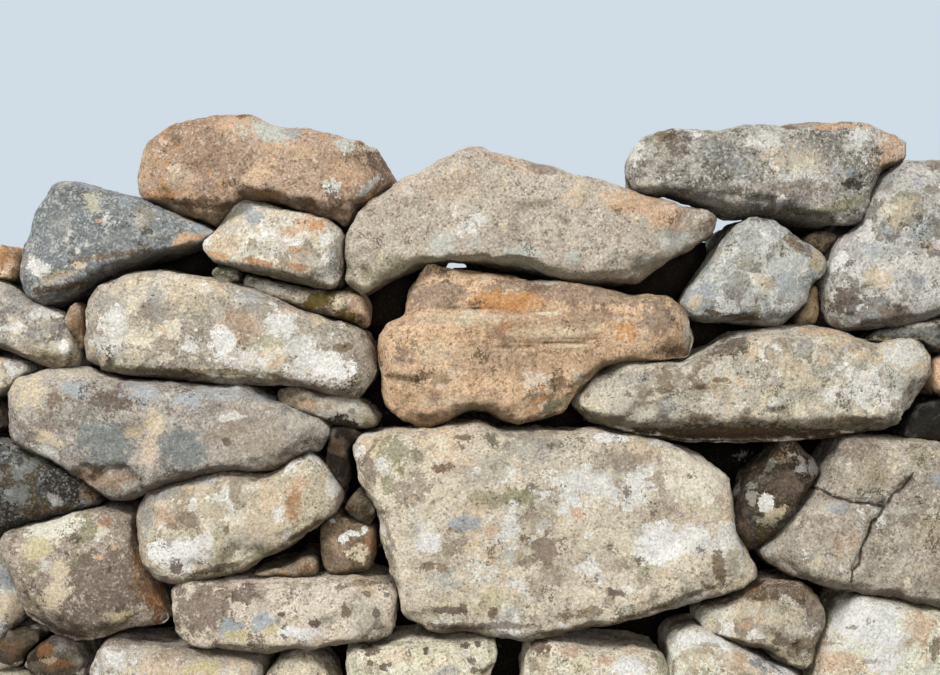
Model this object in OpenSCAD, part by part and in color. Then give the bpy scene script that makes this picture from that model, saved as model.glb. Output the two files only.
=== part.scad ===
// Dry stone field wall of rough granite boulders, free-standing, with built ends.
// The two top rows are single boulders through the full thickness. Below them the
// wall has a front skin and a rear skin of the same pattern, with hearting between.
// X runs along the wall, the front face looks towards -Y, Z is up. Millimetres.
//
// Every stone is laid the way a waller lays it: from the ground up, each one let
// down until it rests on those below. So the stones keep their seats when a size
// changes. Outlines are drawn where the wall is widest, seen from the front.

/* [Wall] */
// Length of the wall along its face
wall_length = 2100; // [2040:10:2500]
// Thickness at the ground
base_thickness = 520; // [470:5:600]
// Thickness at the top
top_thickness = 400; // [370:5:450]

/* [Courses] */
// Height of the footing stones
footing_height = 200; // [160:5:240]
// Height of the course on the footings
second_height = 180; // [140:5:220]
// Width of the rubble hearting between the two skins
hearting_width = 110; // [80:5:130]

/* [Stones] */
// How far the worn edges of the faces are rounded in
arris = 18; // [12:1:26]
// Gap left where one stone rests on the next
seat_gap = 0.3; // [0.2:0.05:0.5]
// Gap between stones that butt side by side
side_gap = 0.5; // [0.3:0.1:0.8]

/* [Hidden] */

wall_height = 1297;
cheek = wall_length / 2;
row_start = footing_height + second_height;
drawn_row_start = 380;

// Outlines of the lowest drawn row, left to right
low_flat_outline = [
    [-808, 394], [-806, 450], [-780, 463], [-705, 465], [-652, 460], [-636, 452],
    [-600, 446], [-578, 438], [-575, 390], [-590, 374], [-790, 374]
];
small_dark_outline = [
    [-660, 470], [-650, 490], [-629, 504], [-618, 512], [-600, 510], [-580, 498],
    [-573, 480], [-573, 458], [-582, 446], [-636, 452], [-651, 461]
];
grey_white_outline = [
    [-566, 440], [-563, 465], [-551, 495], [-540, 506], [-521, 509], [-430, 495],
    [-370, 485], [-318, 479], [-307, 468], [-309, 440], [-318, 398], [-345, 380],
    [-450, 376], [-540, 380], [-562, 400]
];
triangle_low_outline = [
    [-303, 400], [-303, 452], [-277, 485], [-262, 495], [-240, 498], [-224, 476],
    [-205, 450], [-198, 420], [-202, 386], [-230, 375], [-290, 376]
];
round_spotted_outline = [
    [-182, 450], [-180, 487], [-170, 496], [-100, 503], [-30, 507], [14, 509],
    [32, 506], [38, 494], [34, 470], [22, 440], [10, 398], [-20, 381],
    [-120, 377], [-170, 385], [-181, 405]
];
cream_block_outline = [
    [80, 450], [83, 484], [88, 502], [100, 509], [131, 508], [175, 496], [250, 493],
    [283, 486], [292, 465], [291, 415], [284, 390], [250, 378], [150, 376],
    [95, 381], [82, 400]
];
white_slope_outline = [
    [298, 470], [296, 500], [306, 516], [333, 525], [366, 517], [409, 490],
    [448, 471], [485, 457], [500, 440], [503, 397], [490, 379], [400, 374],
    [320, 377], [302, 394]
];
white_patch_outline = [
    [509, 450], [516, 485], [531, 522], [553, 554], [562, 569], [577, 576],
    [650, 561], [705, 550], [780, 548], [832, 530], [850, 480], [846, 420],
    [820, 388], [700, 381], [560, 382], [518, 394]
];
left_brown_outline = [
    [-800, 480], [-740, 495], [-702, 503], [-678, 521], [-642, 520], [-638, 511],
    [-655, 493], [-667, 471], [-700, 465], [-785, 465]
];

// Outlines of the second drawn row
left_grey_outline = [
    [-664, 556], [-675, 584], [-689, 611], [-705, 636], [-740, 648], [-800, 650],
    [-850, 630], [-868, 580], [-855, 525], [-800, 500], [-740, 498], [-700, 506],
    [-680, 528]
];
square_mottled_outline = [
    [-698, 652], [-692, 666], [-671, 673], [-613, 687], [-586, 697], [-549, 703],
    [-520, 699], [-504, 690], [-499, 650], [-485, 614], [-469, 582], [-453, 538],
    [-462, 531], [-505, 529], [-545, 516], [-583, 509], [-618, 515], [-650, 537],
    [-667, 565], [-686, 623]
];
spotted_long_outline = [
    [-443, 570], [-441, 585], [-425, 593], [-387, 594], [-302, 599], [-205, 602],
    [-150, 599], [-120, 590], [-110, 575], [-114, 530], [-121, 512], [-150, 508],
    [-253, 498], [-300, 493], [-366, 496], [-412, 503], [-430, 517], [-439, 540]
];
thin_wedge_outline = [
    [-338, 604], [-300, 613], [-263, 620], [-252, 629], [-235, 631], [-229, 625],
    [-228, 604]
];
small_cube_outline = [
    [-223, 632], [-222, 670], [-205, 691], [-198, 693], [-150, 675], [-143, 668],
    [-145, 630], [-153, 610], [-180, 603], [-205, 602], [-218, 613]
];
beige_wedge_outline = [
    [-497, 703], [-485, 721], [-453, 737], [-400, 750], [-366, 757], [-302, 753],
    [-281, 761], [-263, 776], [-240, 781], [-215, 763], [-193, 724], [-198, 701],
    [-224, 679], [-272, 646], [-332, 617], [-371, 602], [-401, 597], [-446, 593],
    [-470, 600], [-485, 620], [-491, 660]
];
beige_slope_outline = [
    [342, 540], [352, 551], [394, 566], [414, 583], [440, 591], [490, 591],
    [515, 573], [528, 553], [528, 538], [516, 500], [506, 474], [496, 466],
    [462, 476], [432, 497], [400, 501], [366, 519], [347, 530]
];
dark_triangle_outline = [
    [-187, 701], [-178, 716], [-167, 728], [-152, 715], [-143, 700], [-144, 690],
    [-152, 676], [-180, 692]
];

// Outlines of the third drawn row
black_streaked_outline = [
    [-555, 708], [-566, 727], [-578, 742], [-601, 756], [-640, 777], [-675, 797],
    [-730, 806], [-800, 800], [-860, 770], [-876, 720], [-860, 675], [-800, 660],
    [-712, 655], [-671, 676], [-613, 690], [-570, 703]
];
dark_centre_outline = [
    [-691, 872], [-676, 899], [-643, 908], [-577, 907], [-521, 892], [-407, 884],
    [-330, 884], [-300, 866], [-224, 833], [-213, 817], [-229, 791], [-263, 778],
    [-290, 757], [-343, 759], [-400, 753], [-457, 737], [-510, 716], [-538, 717],
    [-560, 731], [-588, 757], [-643, 784], [-682, 810], [-687, 850]
];
small_flat_outline = [
    [-289, 879], [-270, 885], [-254, 883], [-222, 872], [-178, 869], [-153, 857],
    [-139, 838], [-143, 826], [-166, 822], [-203, 827], [-235, 843], [-263, 853],
    [-284, 862]
];
recessed_dark_outline = [
    [-215, 772], [-206, 820], [-185, 822], [-162, 812], [-175, 802], [-182, 790],
    [-180, 745], [-190, 733]
];
left_small_outline = [
    [-660, 911], [-669, 924], [-691, 928], [-730, 930], [-762, 915], [-764, 888],
    [-730, 873], [-705, 874], [-690, 884], [-676, 902]
];
big_centre_outline = [
    [-175, 795], [-163, 810], [-100, 817], [-50, 820], [-30, 825], [16, 828],
    [46, 814], [99, 816], [200, 815], [279, 804], [350, 773], [388, 746],
    [391, 672], [427, 616], [427, 599], [405, 583], [347, 571], [259, 541],
    [147, 517], [72, 505], [37, 508], [8, 519], [-60, 520], [-95, 545],
    [-132, 650], [-136, 695], [-166, 745]
];
tilted_dark_outline = [
    [398, 672], [409, 715], [425, 747], [453, 777], [470, 797], [488, 798],
    [515, 776], [525, 763], [516, 746], [502, 730], [480, 690], [457, 665],
    [436, 646], [420, 639], [406, 650]
];
cracked_outline = [
    [437, 638], [450, 619], [483, 602], [588, 576], [705, 555], [790, 552],
    [850, 568], [872, 620], [868, 710], [835, 780], [765, 798], [660, 806],
    [575, 810], [558, 804], [528, 752], [512, 734], [503, 716], [473, 676]
];
right_dark_outline = [
    [646, 812], [654, 838], [672, 858], [705, 866], [765, 865], [802, 848],
    [806, 814], [765, 806], [660, 807]
];
right_orange_outline = [
    [690, 900], [694, 921], [705, 932], [760, 931], [800, 915], [802, 885],
    [780, 868], [712, 867], [699, 875]
];
left_low_pin_outline = [
    [-862, 820], [-856, 866], [-820, 878], [-760, 872], [-722, 850], [-716, 822],
    [-740, 808], [-840, 806]
];
left_high_pin_outline = [
    [-866, 890], [-858, 935], [-830, 943], [-786, 940], [-772, 920], [-774, 890],
    [-800, 881], [-850, 880]
];

// Outlines of the row of beams
left_shoulder_outline = [
    [-838, 975], [-826, 1030], [-770, 1052], [-705, 1042], [-650, 1011], [-613, 994],
    [-600, 972], [-588, 935], [-594, 911], [-613, 908], [-648, 918], [-675, 932],
    [-705, 943], [-770, 946], [-820, 946]
];
brown_sliver_outline = [
    [-604, 985], [-598, 1002], [-590, 1010], [-584, 1004], [-581, 985], [-581, 945],
    [-587, 942], [-593, 955]
];
lichen_beam_outline = [
    [-578, 958], [-568, 1010], [-556, 1038], [-514, 1058], [-469, 1061], [-400, 1049],
    [-330, 1032], [-254, 1001], [-193, 981], [-158, 967], [-148, 950], [-142, 918],
    [-149, 896], [-171, 868], [-217, 876], [-263, 891], [-366, 888], [-453, 899],
    [-544, 911], [-572, 928]
];
moss_backed_outline = [
    [-345, 1036], [-341, 1052], [-254, 1032], [-212, 1026], [-190, 1027], [-163, 1018],
    [-154, 996], [-156, 972], [-193, 985], [-254, 1003]
];
green_pin_outline = [
    [-388, 1053], [-384, 1065], [-366, 1067], [-351, 1061], [-349, 1044], [-370, 1042]
];
ledged_brown_outline = [
    [-139, 955], [-123, 976], [-97, 988], [-93, 1022], [-64, 1067], [23, 1049],
    [99, 1039], [186, 1033], [246, 1014], [299, 1017], [325, 995], [335, 950],
    [328, 929], [250, 922], [200, 909], [150, 862], [138, 842], [74, 827],
    [48, 831], [28, 845], [-9, 844], [-38, 829], [-72, 820], [-104, 834],
    [-128, 857]
];
wavy_cream_outline = [
    [159, 866], [185, 895], [232, 918], [311, 920], [350, 935], [400, 962],
    [494, 974], [550, 968], [603, 948], [672, 949], [684, 930], [685, 903],
    [655, 849], [618, 822], [553, 811], [477, 799], [401, 799], [311, 803],
    [253, 808], [212, 820], [180, 833], [163, 850]
];
flat_green_outline = [
    [596, 955], [610, 967], [649, 975], [705, 985], [770, 984], [812, 972],
    [815, 948], [790, 937], [692, 937], [676, 951], [604, 951]
];
lower_brown_pin_outline = [
    [494, 975], [497, 992], [508, 1004], [512, 1020], [518, 1036], [524, 1030],
    [526, 1000], [524, 977]
];

// Outlines of the top row
left_orange_outline = [
    [-690, 1045], [-680, 1068], [-681, 1086], [-690, 1095], [-730, 1100],
    [-780, 1094], [-796, 1075], [-786, 1055], [-740, 1051]
];
tan_block_outline = [
    [-399, 1099], [-380, 1119], [-357, 1158], [-339, 1167], [-300, 1159], [-240, 1146],
    [-205, 1132], [-190, 1114], [-192, 1091], [-197, 1052], [-201, 1038], [-210, 1032],
    [-254, 1041], [-300, 1052], [-350, 1064], [-389, 1073]
];
tall_right_outline = [
    [530, 1000], [530, 1037], [537, 1062], [555, 1103], [587, 1125], [601, 1161],
    [625, 1201], [655, 1219], [705, 1224], [770, 1212], [806, 1170], [815, 1080],
    [806, 1010], [770, 988], [705, 990], [649, 975], [610, 971], [570, 967],
    [545, 976]
];
triangular_outline = [
    [318, 1006], [368, 1080], [391, 1111], [403, 1123], [423, 1135], [458, 1135],
    [478, 1116], [515, 1091], [533, 1071], [535, 1060], [526, 1046], [506, 1028],
    [504, 1011], [490, 994], [462, 970], [444, 970], [420, 976], [350, 980],
    [331, 984]
];
upper_brown_pin_outline = [
    [533, 1082], [520, 1096], [507, 1108], [525, 1119], [545, 1118], [560, 1111],
    [548, 1095]
];
blue_wedge_outline = [
    [-675, 1046], [-670, 1091], [-650, 1137], [-621, 1193], [-600, 1195], [-544, 1179],
    [-464, 1153], [-400, 1130], [-382, 1116], [-407, 1097], [-473, 1083], [-528, 1059],
    [-600, 1030], [-650, 1021], [-668, 1024]
];
peaked_outline = [
    [-184, 1040], [-182, 1110], [-153, 1160], [-104, 1187], [-49, 1222], [0, 1248],
    [51, 1233], [133, 1209], [207, 1187], [306, 1155], [357, 1147], [372, 1135],
    [368, 1112], [302, 1075], [251, 1040], [221, 1036], [152, 1041], [83, 1062],
    [0, 1073], [-79, 1067], [-128, 1043], [-162, 1023]
];
brown_saddle_outline = [
    [-497, 1202], [-485, 1254], [-450, 1280], [-384, 1297], [-323, 1293], [-297, 1281],
    [-201, 1263], [-141, 1242], [-110, 1191], [-169, 1156], [-188, 1125], [-205, 1140],
    [-300, 1167], [-345, 1174], [-382, 1128], [-464, 1160], [-491, 1169]
];
long_grey_outline = [
    [237, 1226], [238, 1198], [251, 1177], [299, 1169], [352, 1151], [393, 1139],
    [460, 1136], [527, 1126], [566, 1122], [587, 1128], [607, 1185], [622, 1208],
    [655, 1224], [657, 1250], [616, 1271], [575, 1280], [497, 1277], [403, 1271],
    [366, 1263], [310, 1269], [263, 1261]
];
left_end_cope_outline = [
    [-716, 1120], [-722, 1180], [-745, 1225], [-800, 1252], [-860, 1240],
    [-886, 1190], [-884, 1120], [-850, 1101], [-740, 1102]
];

// Outlines of the stones wedged deep in the gaps of the upper rows, from below up
wedge_outlines = [
    [[-134, 815], [-136, 832], [-134, 846], [-128, 851], [-108, 832], [-92, 824],
     [-90, 819], [-100, 818.5]],
    [[98, 819], [97, 827], [120, 835], [142, 842], [154, 854], [163, 841],
     [178, 828], [190, 818], [140, 817]],
    [[-151, 857], [-161, 868], [-152, 876], [-144, 893], [-141, 908], [-137, 895],
     [-133, 862], [-135, 850], [-141, 842]],
    [[352, 940], [338, 949], [335, 966], [349, 977], [386, 979], [418, 975],
     [421, 970], [396, 962.5]],
    [[-496, 1057], [-473, 1074], [-440, 1081], [-405, 1088], [-395, 1066], [-394, 1050],
     [-402, 1047.5], [-469, 1059]],
    [[-143, 968], [-152, 975], [-151, 995], [-158, 1017], [-128, 1036], [-84, 1058],
     [-76, 1054], [-97, 1020], [-101, 988.5], [-126, 975]],
    [[-22, 1060], [-16, 1067], [20, 1065], [60, 1060], [138, 1043], [143, 1039],
     [99, 1041], [23, 1051]],
    [[246, 1015], [230, 1024], [252, 1033], [302, 1067], [366, 1103], [374, 1098],
     [360, 1077], [313, 1008], [299, 1018]]
];

// Stones laid by rule: left x, right x, bottom, top, shape seed
footing_boxes = [
    for (i = [0:5]) let (cuts = [0, 0.16, 0.33, 0.52, 0.69, 0.85, 1])
        [-cheek + wall_length * cuts[i] + (i == 0 ? 0 : side_gap / 2),
         -cheek + wall_length * cuts[i + 1] - (i == 5 ? 0 : side_gap / 2),
         0, footing_height - 3 * (i % 2), 11 + i]
];
second_boxes = [
    for (i = [0:5]) let (cuts = [-815, -560, -270, -20, 245, 545, 835])
        [cuts[i] + side_gap / 2, cuts[i + 1] - side_gap / 2,
         footing_height, row_start - 3 * ((i + 1) % 2), 31 + i]
];
second_end_boxes = [
    [-cheek, -815 - side_gap / 2, footing_height, row_start - 4, 41],
    [835 + side_gap / 2, cheek, footing_height, row_start - 8, 42]
];
// Inner x, bottom and top of each stone in the two built ends, from the ground up
left_cheeks = [
    [-814, 376, 500], [-874, 500, 655], [-882, 655, 812], [-874, 812, 945],
    [-844, 945, 1096], [-892, 1096, 1232]
];
right_cheeks = [
    [856, 370, 546], [880, 548, 676], [880, 676, 802], [812, 802, 936],
    [822, 936, 1084], [822, 1084, 1238]
];
hearting_rise = (second_height + 410) / 4;
hearting_boxes = [
    for (row = [0:3]) for (i = [0:4])
        let (step = 310, start = -775 + 40 * (row % 2))
        [start + step * i + 5, start + step * (i + 1) - 5,
         footing_height + hearting_rise * row,
         footing_height + hearting_rise * (row + 1) - 1, 71 + 5 * row + i]
];

// A rough block that fills its box, with knocked-off corners and a flat on each side
function block_outline(box) =
    let (w = box[1] - box[0], h = box[3] - box[2], r = rands(0.5, 1, 8, box[4]),
         cx = 0.16 * w, cz = 0.28 * h)
    [
        [box[0], box[2] + cz * r[0]],
        [box[0], box[3] - cz * r[1] - 0.1 * h],
        [box[0] + cx * r[2], box[3] - 0.025 * h * r[3]],
        [box[0] + w * (0.3 + 0.4 * r[4]), box[3]],
        [box[1] - cx * r[3], box[3] - 0.03 * h * r[2]],
        [box[1], box[3] - cz * r[4]],
        [box[1], box[2] + cz * r[5] + 0.1 * h],
        [box[1] - cx * r[6], box[2]],
        [box[0] + cx * r[7], box[2]]
    ];
function block_outlines(boxes) = [for (b = boxes) block_outline(b)];
function left_cheek(i) =
    let (c = left_cheeks[i - 1])
    drawn(block_outline([-cheek, c[0] - side_gap / 2, c[1], c[2], 50 + i]));
function right_cheek(i) =
    let (c = right_cheeks[i - 1])
    drawn(block_outline([c[0] + side_gap / 2, cheek, c[1], c[2], 60 + i]));
function named(stem, outlines) =
    [for (i = [0:len(outlines) - 1]) [str(stem, "_", i + 1), outlines[i]]];

// An outline drawn for the usual courses, shifted to where the lower ones now end
function drawn(o) = [for (p = o) [p[0], p[1] + row_start - drawn_row_start]];

// Heights at which an outline is crossed above one x
function crossings(o, x) =
    [for (i = [0:len(o) - 1])
        let (a = o[i], b = o[(i + 1) % len(o)])
        if (a[0] != b[0] && (a[0] - x) * (b[0] - x) <= 0)
            a[1] + (b[1] - a[1]) * (x - a[0]) / (b[0] - a[0])];
function low_x(o) = min([for (p = o) p[0]]);
function high_x(o) = max([for (p = o) p[0]]);
function low_z(o) = min([for (p = o) p[1]]);
function high_z(o) = max([for (p = o) p[1]]);

// How far one outline must rise to clear another that lies under it
function rise_over(o, below) =
    let (x0 = max(low_x(o), low_x(below)), x1 = min(high_x(o), high_x(below)))
    x0 >= x1 ? -10000 :
    max([for (x = concat([x0, x1], [for (p = o) p[0]], [for (p = below) p[0]]))
        if (x >= x0 && x <= x1) max(crossings(below, x)) - min(crossings(o, x))]);
function rise(o, laid) =
    max([for (b = laid) if (low_x(o) < high_x(b) && high_x(o) > low_x(b)) rise_over(o, b)]);
function raised(o, dz) = [for (p = o) [p[0], p[1] + dz]];

// The outlines laid one after another, each let down on those before it
function laid(outlines, done = []) =
    let (i = len(done))
    i == len(outlines) ? done :
    let (o = outlines[i], dz = low_z(o) == 0 ? 0 : rise(o, done) + seat_gap)
    laid(outlines, concat(done, [raised(o, dz)]));

// Every stone under a name, in the order of laying
lay_list = concat(
    named("footing", block_outlines(footing_boxes)),
    named("second_end", block_outlines(second_end_boxes)),
    named("second", block_outlines(second_boxes)),
    [
        ["low_flat", drawn(low_flat_outline)],
        ["small_dark", drawn(small_dark_outline)],
        ["grey_white", drawn(grey_white_outline)],
        ["triangle_low", drawn(triangle_low_outline)],
        ["round_spotted", drawn(round_spotted_outline)],
        ["cream_block", drawn(cream_block_outline)],
        ["white_slope", drawn(white_slope_outline)],
        ["white_patch", drawn(white_patch_outline)],
        ["left_cheek_1", left_cheek(1)],
        ["right_cheek_1", right_cheek(1)],
        ["left_brown", drawn(left_brown_outline)],
        ["left_grey", drawn(left_grey_outline)],
        ["left_cheek_2", left_cheek(2)],
        ["square_mottled", drawn(square_mottled_outline)],
        ["spotted_long", drawn(spotted_long_outline)],
        ["thin_wedge", drawn(thin_wedge_outline)],
        ["small_cube", drawn(small_cube_outline)],
        ["beige_wedge", drawn(beige_wedge_outline)],
        ["beige_slope", drawn(beige_slope_outline)],
        ["dark_triangle", drawn(dark_triangle_outline)],
        ["big_centre", drawn(big_centre_outline)],
        ["cracked", drawn(cracked_outline)],
        ["right_cheek_2", right_cheek(2)],
        ["right_cheek_3", right_cheek(3)],
        ["tilted_dark", drawn(tilted_dark_outline)],
        ["black_streaked", drawn(black_streaked_outline)],
        ["left_cheek_3", left_cheek(3)],
        ["recessed_dark", drawn(recessed_dark_outline)],
        ["dark_centre", drawn(dark_centre_outline)],
        ["small_flat", drawn(small_flat_outline)],
        ["wedge_1", drawn(wedge_outlines[0])],
        ["wedge_3", drawn(wedge_outlines[2])],
        ["left_low_pin", drawn(left_low_pin_outline)],
        ["left_small", drawn(left_small_outline)],
        ["left_high_pin", drawn(left_high_pin_outline)],
        ["left_cheek_4", left_cheek(4)],
        ["right_dark", drawn(right_dark_outline)],
        ["left_shoulder", drawn(left_shoulder_outline)],
        ["brown_sliver", drawn(brown_sliver_outline)],
        ["lichen_beam", drawn(lichen_beam_outline)],
        ["wedge_2", drawn(wedge_outlines[1])],
        ["wavy_cream", drawn(wavy_cream_outline)],
        ["ledged_brown", drawn(ledged_brown_outline)],
        ["wedge_4", drawn(wedge_outlines[3])],
        ["right_orange", drawn(right_orange_outline)],
        ["right_cheek_4", right_cheek(4)],
        ["flat_green", drawn(flat_green_outline)],
        ["lower_brown_pin", drawn(lower_brown_pin_outline)],
        ["tall_right", drawn(tall_right_outline)],
        ["right_cheek_5", right_cheek(5)],
        ["right_cheek_6", right_cheek(6)],
        ["triangular", drawn(triangular_outline)],
        ["upper_brown_pin", drawn(upper_brown_pin_outline)],
        ["moss_backed", drawn(moss_backed_outline)],
        ["green_pin", drawn(green_pin_outline)],
        ["left_cheek_5", left_cheek(5)],
        ["left_orange", drawn(left_orange_outline)],
        ["left_cheek_6", left_cheek(6)],
        ["left_end_cope", drawn(left_end_cope_outline)],
        ["wedge_5", drawn(wedge_outlines[4])],
        ["tan_block", drawn(tan_block_outline)],
        ["blue_wedge", drawn(blue_wedge_outline)],
        ["wedge_6", drawn(wedge_outlines[5])],
        ["wedge_7", drawn(wedge_outlines[6])],
        ["wedge_8", drawn(wedge_outlines[7])],
        ["peaked", drawn(peaked_outline)],
        ["brown_saddle", drawn(brown_saddle_outline)],
        ["long_grey", drawn(long_grey_outline)]
    ]
);
names = [for (l = lay_list) l[0]];
all_laid = laid([for (l = lay_list) l[1]]);
hearting_laid = laid(block_outlines(concat(footing_boxes, hearting_boxes)));

function stone(key) = all_laid[search([key], names)[0]];
function stones(keys) = [for (k = keys) stone(k)];
function keys(stem, first, last) = [for (i = [first:last]) str(stem, "_", i)];

// Half the wall's thickness at a height, from the batter of its faces
function half_at(z) =
    (base_thickness + (top_thickness - base_thickness) * z / wall_height) / 2;

// The outline drawn in by an even margin, at depth y
function ring(o, inset, y) =
    let (x0 = low_x(o), x1 = high_x(o), z0 = low_z(o), z1 = high_z(o),
         fx = 1 - 2 * inset / (x1 - x0), fz = 1 - 2 * inset / (z1 - z0),
         mx = (x0 + x1) / 2, mz = (z0 + z1) / 2)
    [for (p = o) [mx + (p[0] - mx) * fx, y, mz + (p[1] - mz) * fz]];
function worn(o) = min(arris, 0.136 * min(high_x(o) - low_x(o), high_z(o) - low_z(o)));
skin_back = hearting_width / 2 + 4;
function face_y(o, back) =
    max(half_at((low_z(o) + high_z(o)) / 2) - back, skin_back + 30 + 2.4 * worn(o));

// Rings from the front face to the back of a skin stone
function skin_rings(o, back = 0) =
    let (a = worn(o), y = -face_y(o, back))
    [ring(o, 2.2 * a, y), ring(o, a, y + 0.35 * a), ring(o, 0.25 * a, y + 1.3 * a),
     ring(o, 0, y + 2.4 * a), ring(o, 0, -skin_back - 18), ring(o, 0.3 * a, -skin_back)];
// Rings of the matching stone in the rear skin, plainer as it is seldom seen
function rear_rings(o) =
    let (a = worn(o), y = face_y(o, 0))
    [ring(o, 0.3 * a, skin_back), ring(o, 0, skin_back + 18), ring(o, 0, y - 2.4 * a),
     ring(o, 1.5 * a, y)];
// The outline with its left end drawn in, for a boulder that tapers to the rear
function tucked(o, by) =
    let (x0 = low_x(o), xm = (x0 + high_x(o)) / 2)
    [for (p = o) [p[0] + by * max(0, (xm - p[0]) / (xm - x0)), p[1]]];
// Rings of a boulder that runs through the full thickness
function through_rings(o, back = 0, tuck = 0) =
    let (a = worn(o), y = -face_y(o, back), far = tucked(o, tuck))
    [ring(o, 2.2 * a, y), ring(o, a, y + 0.35 * a), ring(o, 0.25 * a, y + 1.3 * a),
     ring(o, 0, y + 2.4 * a), ring(far, 0, -y - 2.4 * a), ring(far, 1.5 * a, -y)];
function hearting_rings(o) =
    [ring(o, 0, -hearting_width / 2), ring(o, 0, hearting_width / 2)];
// Rings of a stone wedged deep in a gap, which reaches over both skins
function wedge_rings(o) =
    [ring(o, 0, -skin_back - 40), ring(o, 1, skin_back + 40)];

// Turning direction of an outline, positive when it runs anticlockwise
function turn(r) = [for (i = [0:len(r) - 1]) 1] *
    [for (i = [0:len(r) - 1]) let (a = r[i], b = r[(i + 1) % len(r)])
        a[0] * b[2] - b[0] * a[2]];
function tidy(rings) =
    turn(rings[0]) > 0 ? [for (r = rings) [for (i = [len(r) - 1:-1:0]) r[i]]] : rings;
function flat(lists) = [for (l = lists) for (e = l) e];

// Faces of one skinned stack of rings, counted from its first point
function skin_faces(n, levels, s) = concat(
    [[for (i = [0:n - 1]) s + i]],
    [[for (i = [n - 1:-1:0]) s + (levels - 1) * n + i]],
    flat([for (l = [0:levels - 2]) for (i = [0:n - 1])
        let (f = s + l * n, g = f + n, j = (i + 1) % n)
        [[f + i, g + i, g + j], [f + i, g + j, f + j]]])
);

// Draws several stones at once, each given as its rings
module boulders(ring_sets) {
    sets = [for (s = ring_sets) tidy(s)];
    sizes = [for (s = sets) len(s) * len(s[0])];
    starts = [for (i = 0, t = 0; i < len(sets); t = t + sizes[i], i = i + 1) t];
    polyhedron(
        points = flat([for (s = sets) flat(s)]),
        faces = flat([for (i = [0:len(sets) - 1])
            skin_faces(len(sets[i][0]), len(sets[i]), starts[i])]),
        convexity = 8
    );
}
module skin_stones(keys, back = 0) {
    boulders([for (o = stones(keys)) skin_rings(o, back)]);
}
module through_stones(keys, back = 0, tuck = 0) {
    boulders([for (o = stones(keys)) through_rings(o, back, tuck)]);
}
module rear_stones(keys) {
    boulders([for (o = stones(keys)) rear_rings(o)]);
}

module footing_stones() {
    color([0.50, 0.49, 0.46])
        through_stones(keys("footing", 1, 6));
}
module second_course_front() {
    color([0.60, 0.57, 0.51])
        skin_stones(keys("second", 1, 6));
}
module second_course_rear() {
    color([0.56, 0.54, 0.49])
        rear_stones(keys("second", 1, 6));
}
module grey_white_stone() {
    color([0.67, 0.65, 0.60]) skin_stones(["grey_white"]);
}
module round_spotted_stone() {
    color([0.82, 0.77, 0.66]) skin_stones(["round_spotted"]);
}
module cream_block_stone() {
    color([0.83, 0.78, 0.70]) skin_stones(["cream_block"]);
}
module white_slope_stone() {
    color([0.80, 0.78, 0.72]) skin_stones(["white_slope"]);
}
module white_patch_stone() {
    color([0.82, 0.78, 0.70]) skin_stones(["white_patch"]);
}
module low_front_pinnings() {
    color([0.45, 0.38, 0.31])
        skin_stones(["low_flat", "small_dark", "left_brown", "triangle_low"], 14);
}
module beige_slope_stone() {
    color([0.66, 0.61, 0.53]) skin_stones(["beige_slope"], 8);
}
module square_mottled_stone() {
    color([0.55, 0.50, 0.43]) skin_stones(["square_mottled"]);
}
module left_grey_stone() {
    color([0.62, 0.62, 0.60]) skin_stones(["left_grey"], 6);
}
module spotted_long_stone() {
    color([0.74, 0.70, 0.61]) skin_stones(["spotted_long"]);
}
module beige_wedge_stone() {
    color([0.75, 0.69, 0.58]) skin_stones(["beige_wedge"]);
}
module middle_pinnings() {
    color([0.38, 0.32, 0.26])
        skin_stones(["thin_wedge", "small_cube", "dark_triangle", "recessed_dark",
                     "small_flat"], 30);
}
module black_streaked_stone() {
    color([0.36, 0.37, 0.39]) skin_stones(["black_streaked"], 10);
}
module dark_centre_stone() {
    color([0.62, 0.57, 0.50]) skin_stones(["dark_centre"]);
}
module big_centre_stone() {
    color([0.76, 0.71, 0.62]) skin_stones(["big_centre"]);
}
module tilted_dark_stone() {
    color([0.40, 0.34, 0.27]) skin_stones(["tilted_dark"], 24);
}
module cracked_stone() {
    color([0.64, 0.58, 0.51]) skin_stones(["cracked"]);
}
module edge_pinnings() {
    color([0.50, 0.44, 0.37])
        skin_stones(["left_low_pin", "left_small", "left_high_pin", "right_dark",
                     "right_orange"], 20);
}
module left_shoulder_stone() {
    color([0.64, 0.61, 0.54]) through_stones(["left_shoulder"]);
}
module lichen_beam_stone() {
    color([0.70, 0.67, 0.60]) through_stones(["lichen_beam"]);
}
module ledged_brown_stone() {
    color([0.71, 0.54, 0.40]) through_stones(["ledged_brown"]);
}
module wavy_cream_stone() {
    color([0.77, 0.73, 0.64]) through_stones(["wavy_cream"]);
}
module flat_green_stone() {
    color([0.50, 0.51, 0.44]) through_stones(["flat_green"], 16);
}
module upper_left_pinnings() {
    color([0.60, 0.50, 0.42]) {
        skin_stones(["brown_sliver", "green_pin"], 24);
        through_stones(["moss_backed"], 40);
    }
}
module upper_right_pinnings() {
    color([0.47, 0.36, 0.26])
        skin_stones(["lower_brown_pin", "upper_brown_pin"], 40);
}
module left_orange_stone() {
    color([0.68, 0.50, 0.34]) through_stones(["left_orange"], 10);
}
module tan_block_stone() {
    color([0.76, 0.70, 0.58]) through_stones(["tan_block"]);
}
module triangular_stone() {
    color([0.67, 0.68, 0.64]) through_stones(["triangular"], tuck = 40);
}
module tall_right_stone() {
    color([0.63, 0.61, 0.57]) through_stones(["tall_right"]);
}
module blue_wedge_cope() {
    color([0.55, 0.57, 0.58]) through_stones(["blue_wedge"]);
}
module brown_saddle_cope() {
    color([0.68, 0.58, 0.49]) through_stones(["brown_saddle"]);
}
module peaked_cope() {
    color([0.68, 0.63, 0.58]) through_stones(["peaked"]);
}
module long_grey_cope() {
    color([0.66, 0.63, 0.58]) through_stones(["long_grey"], tuck = 36);
}
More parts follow.
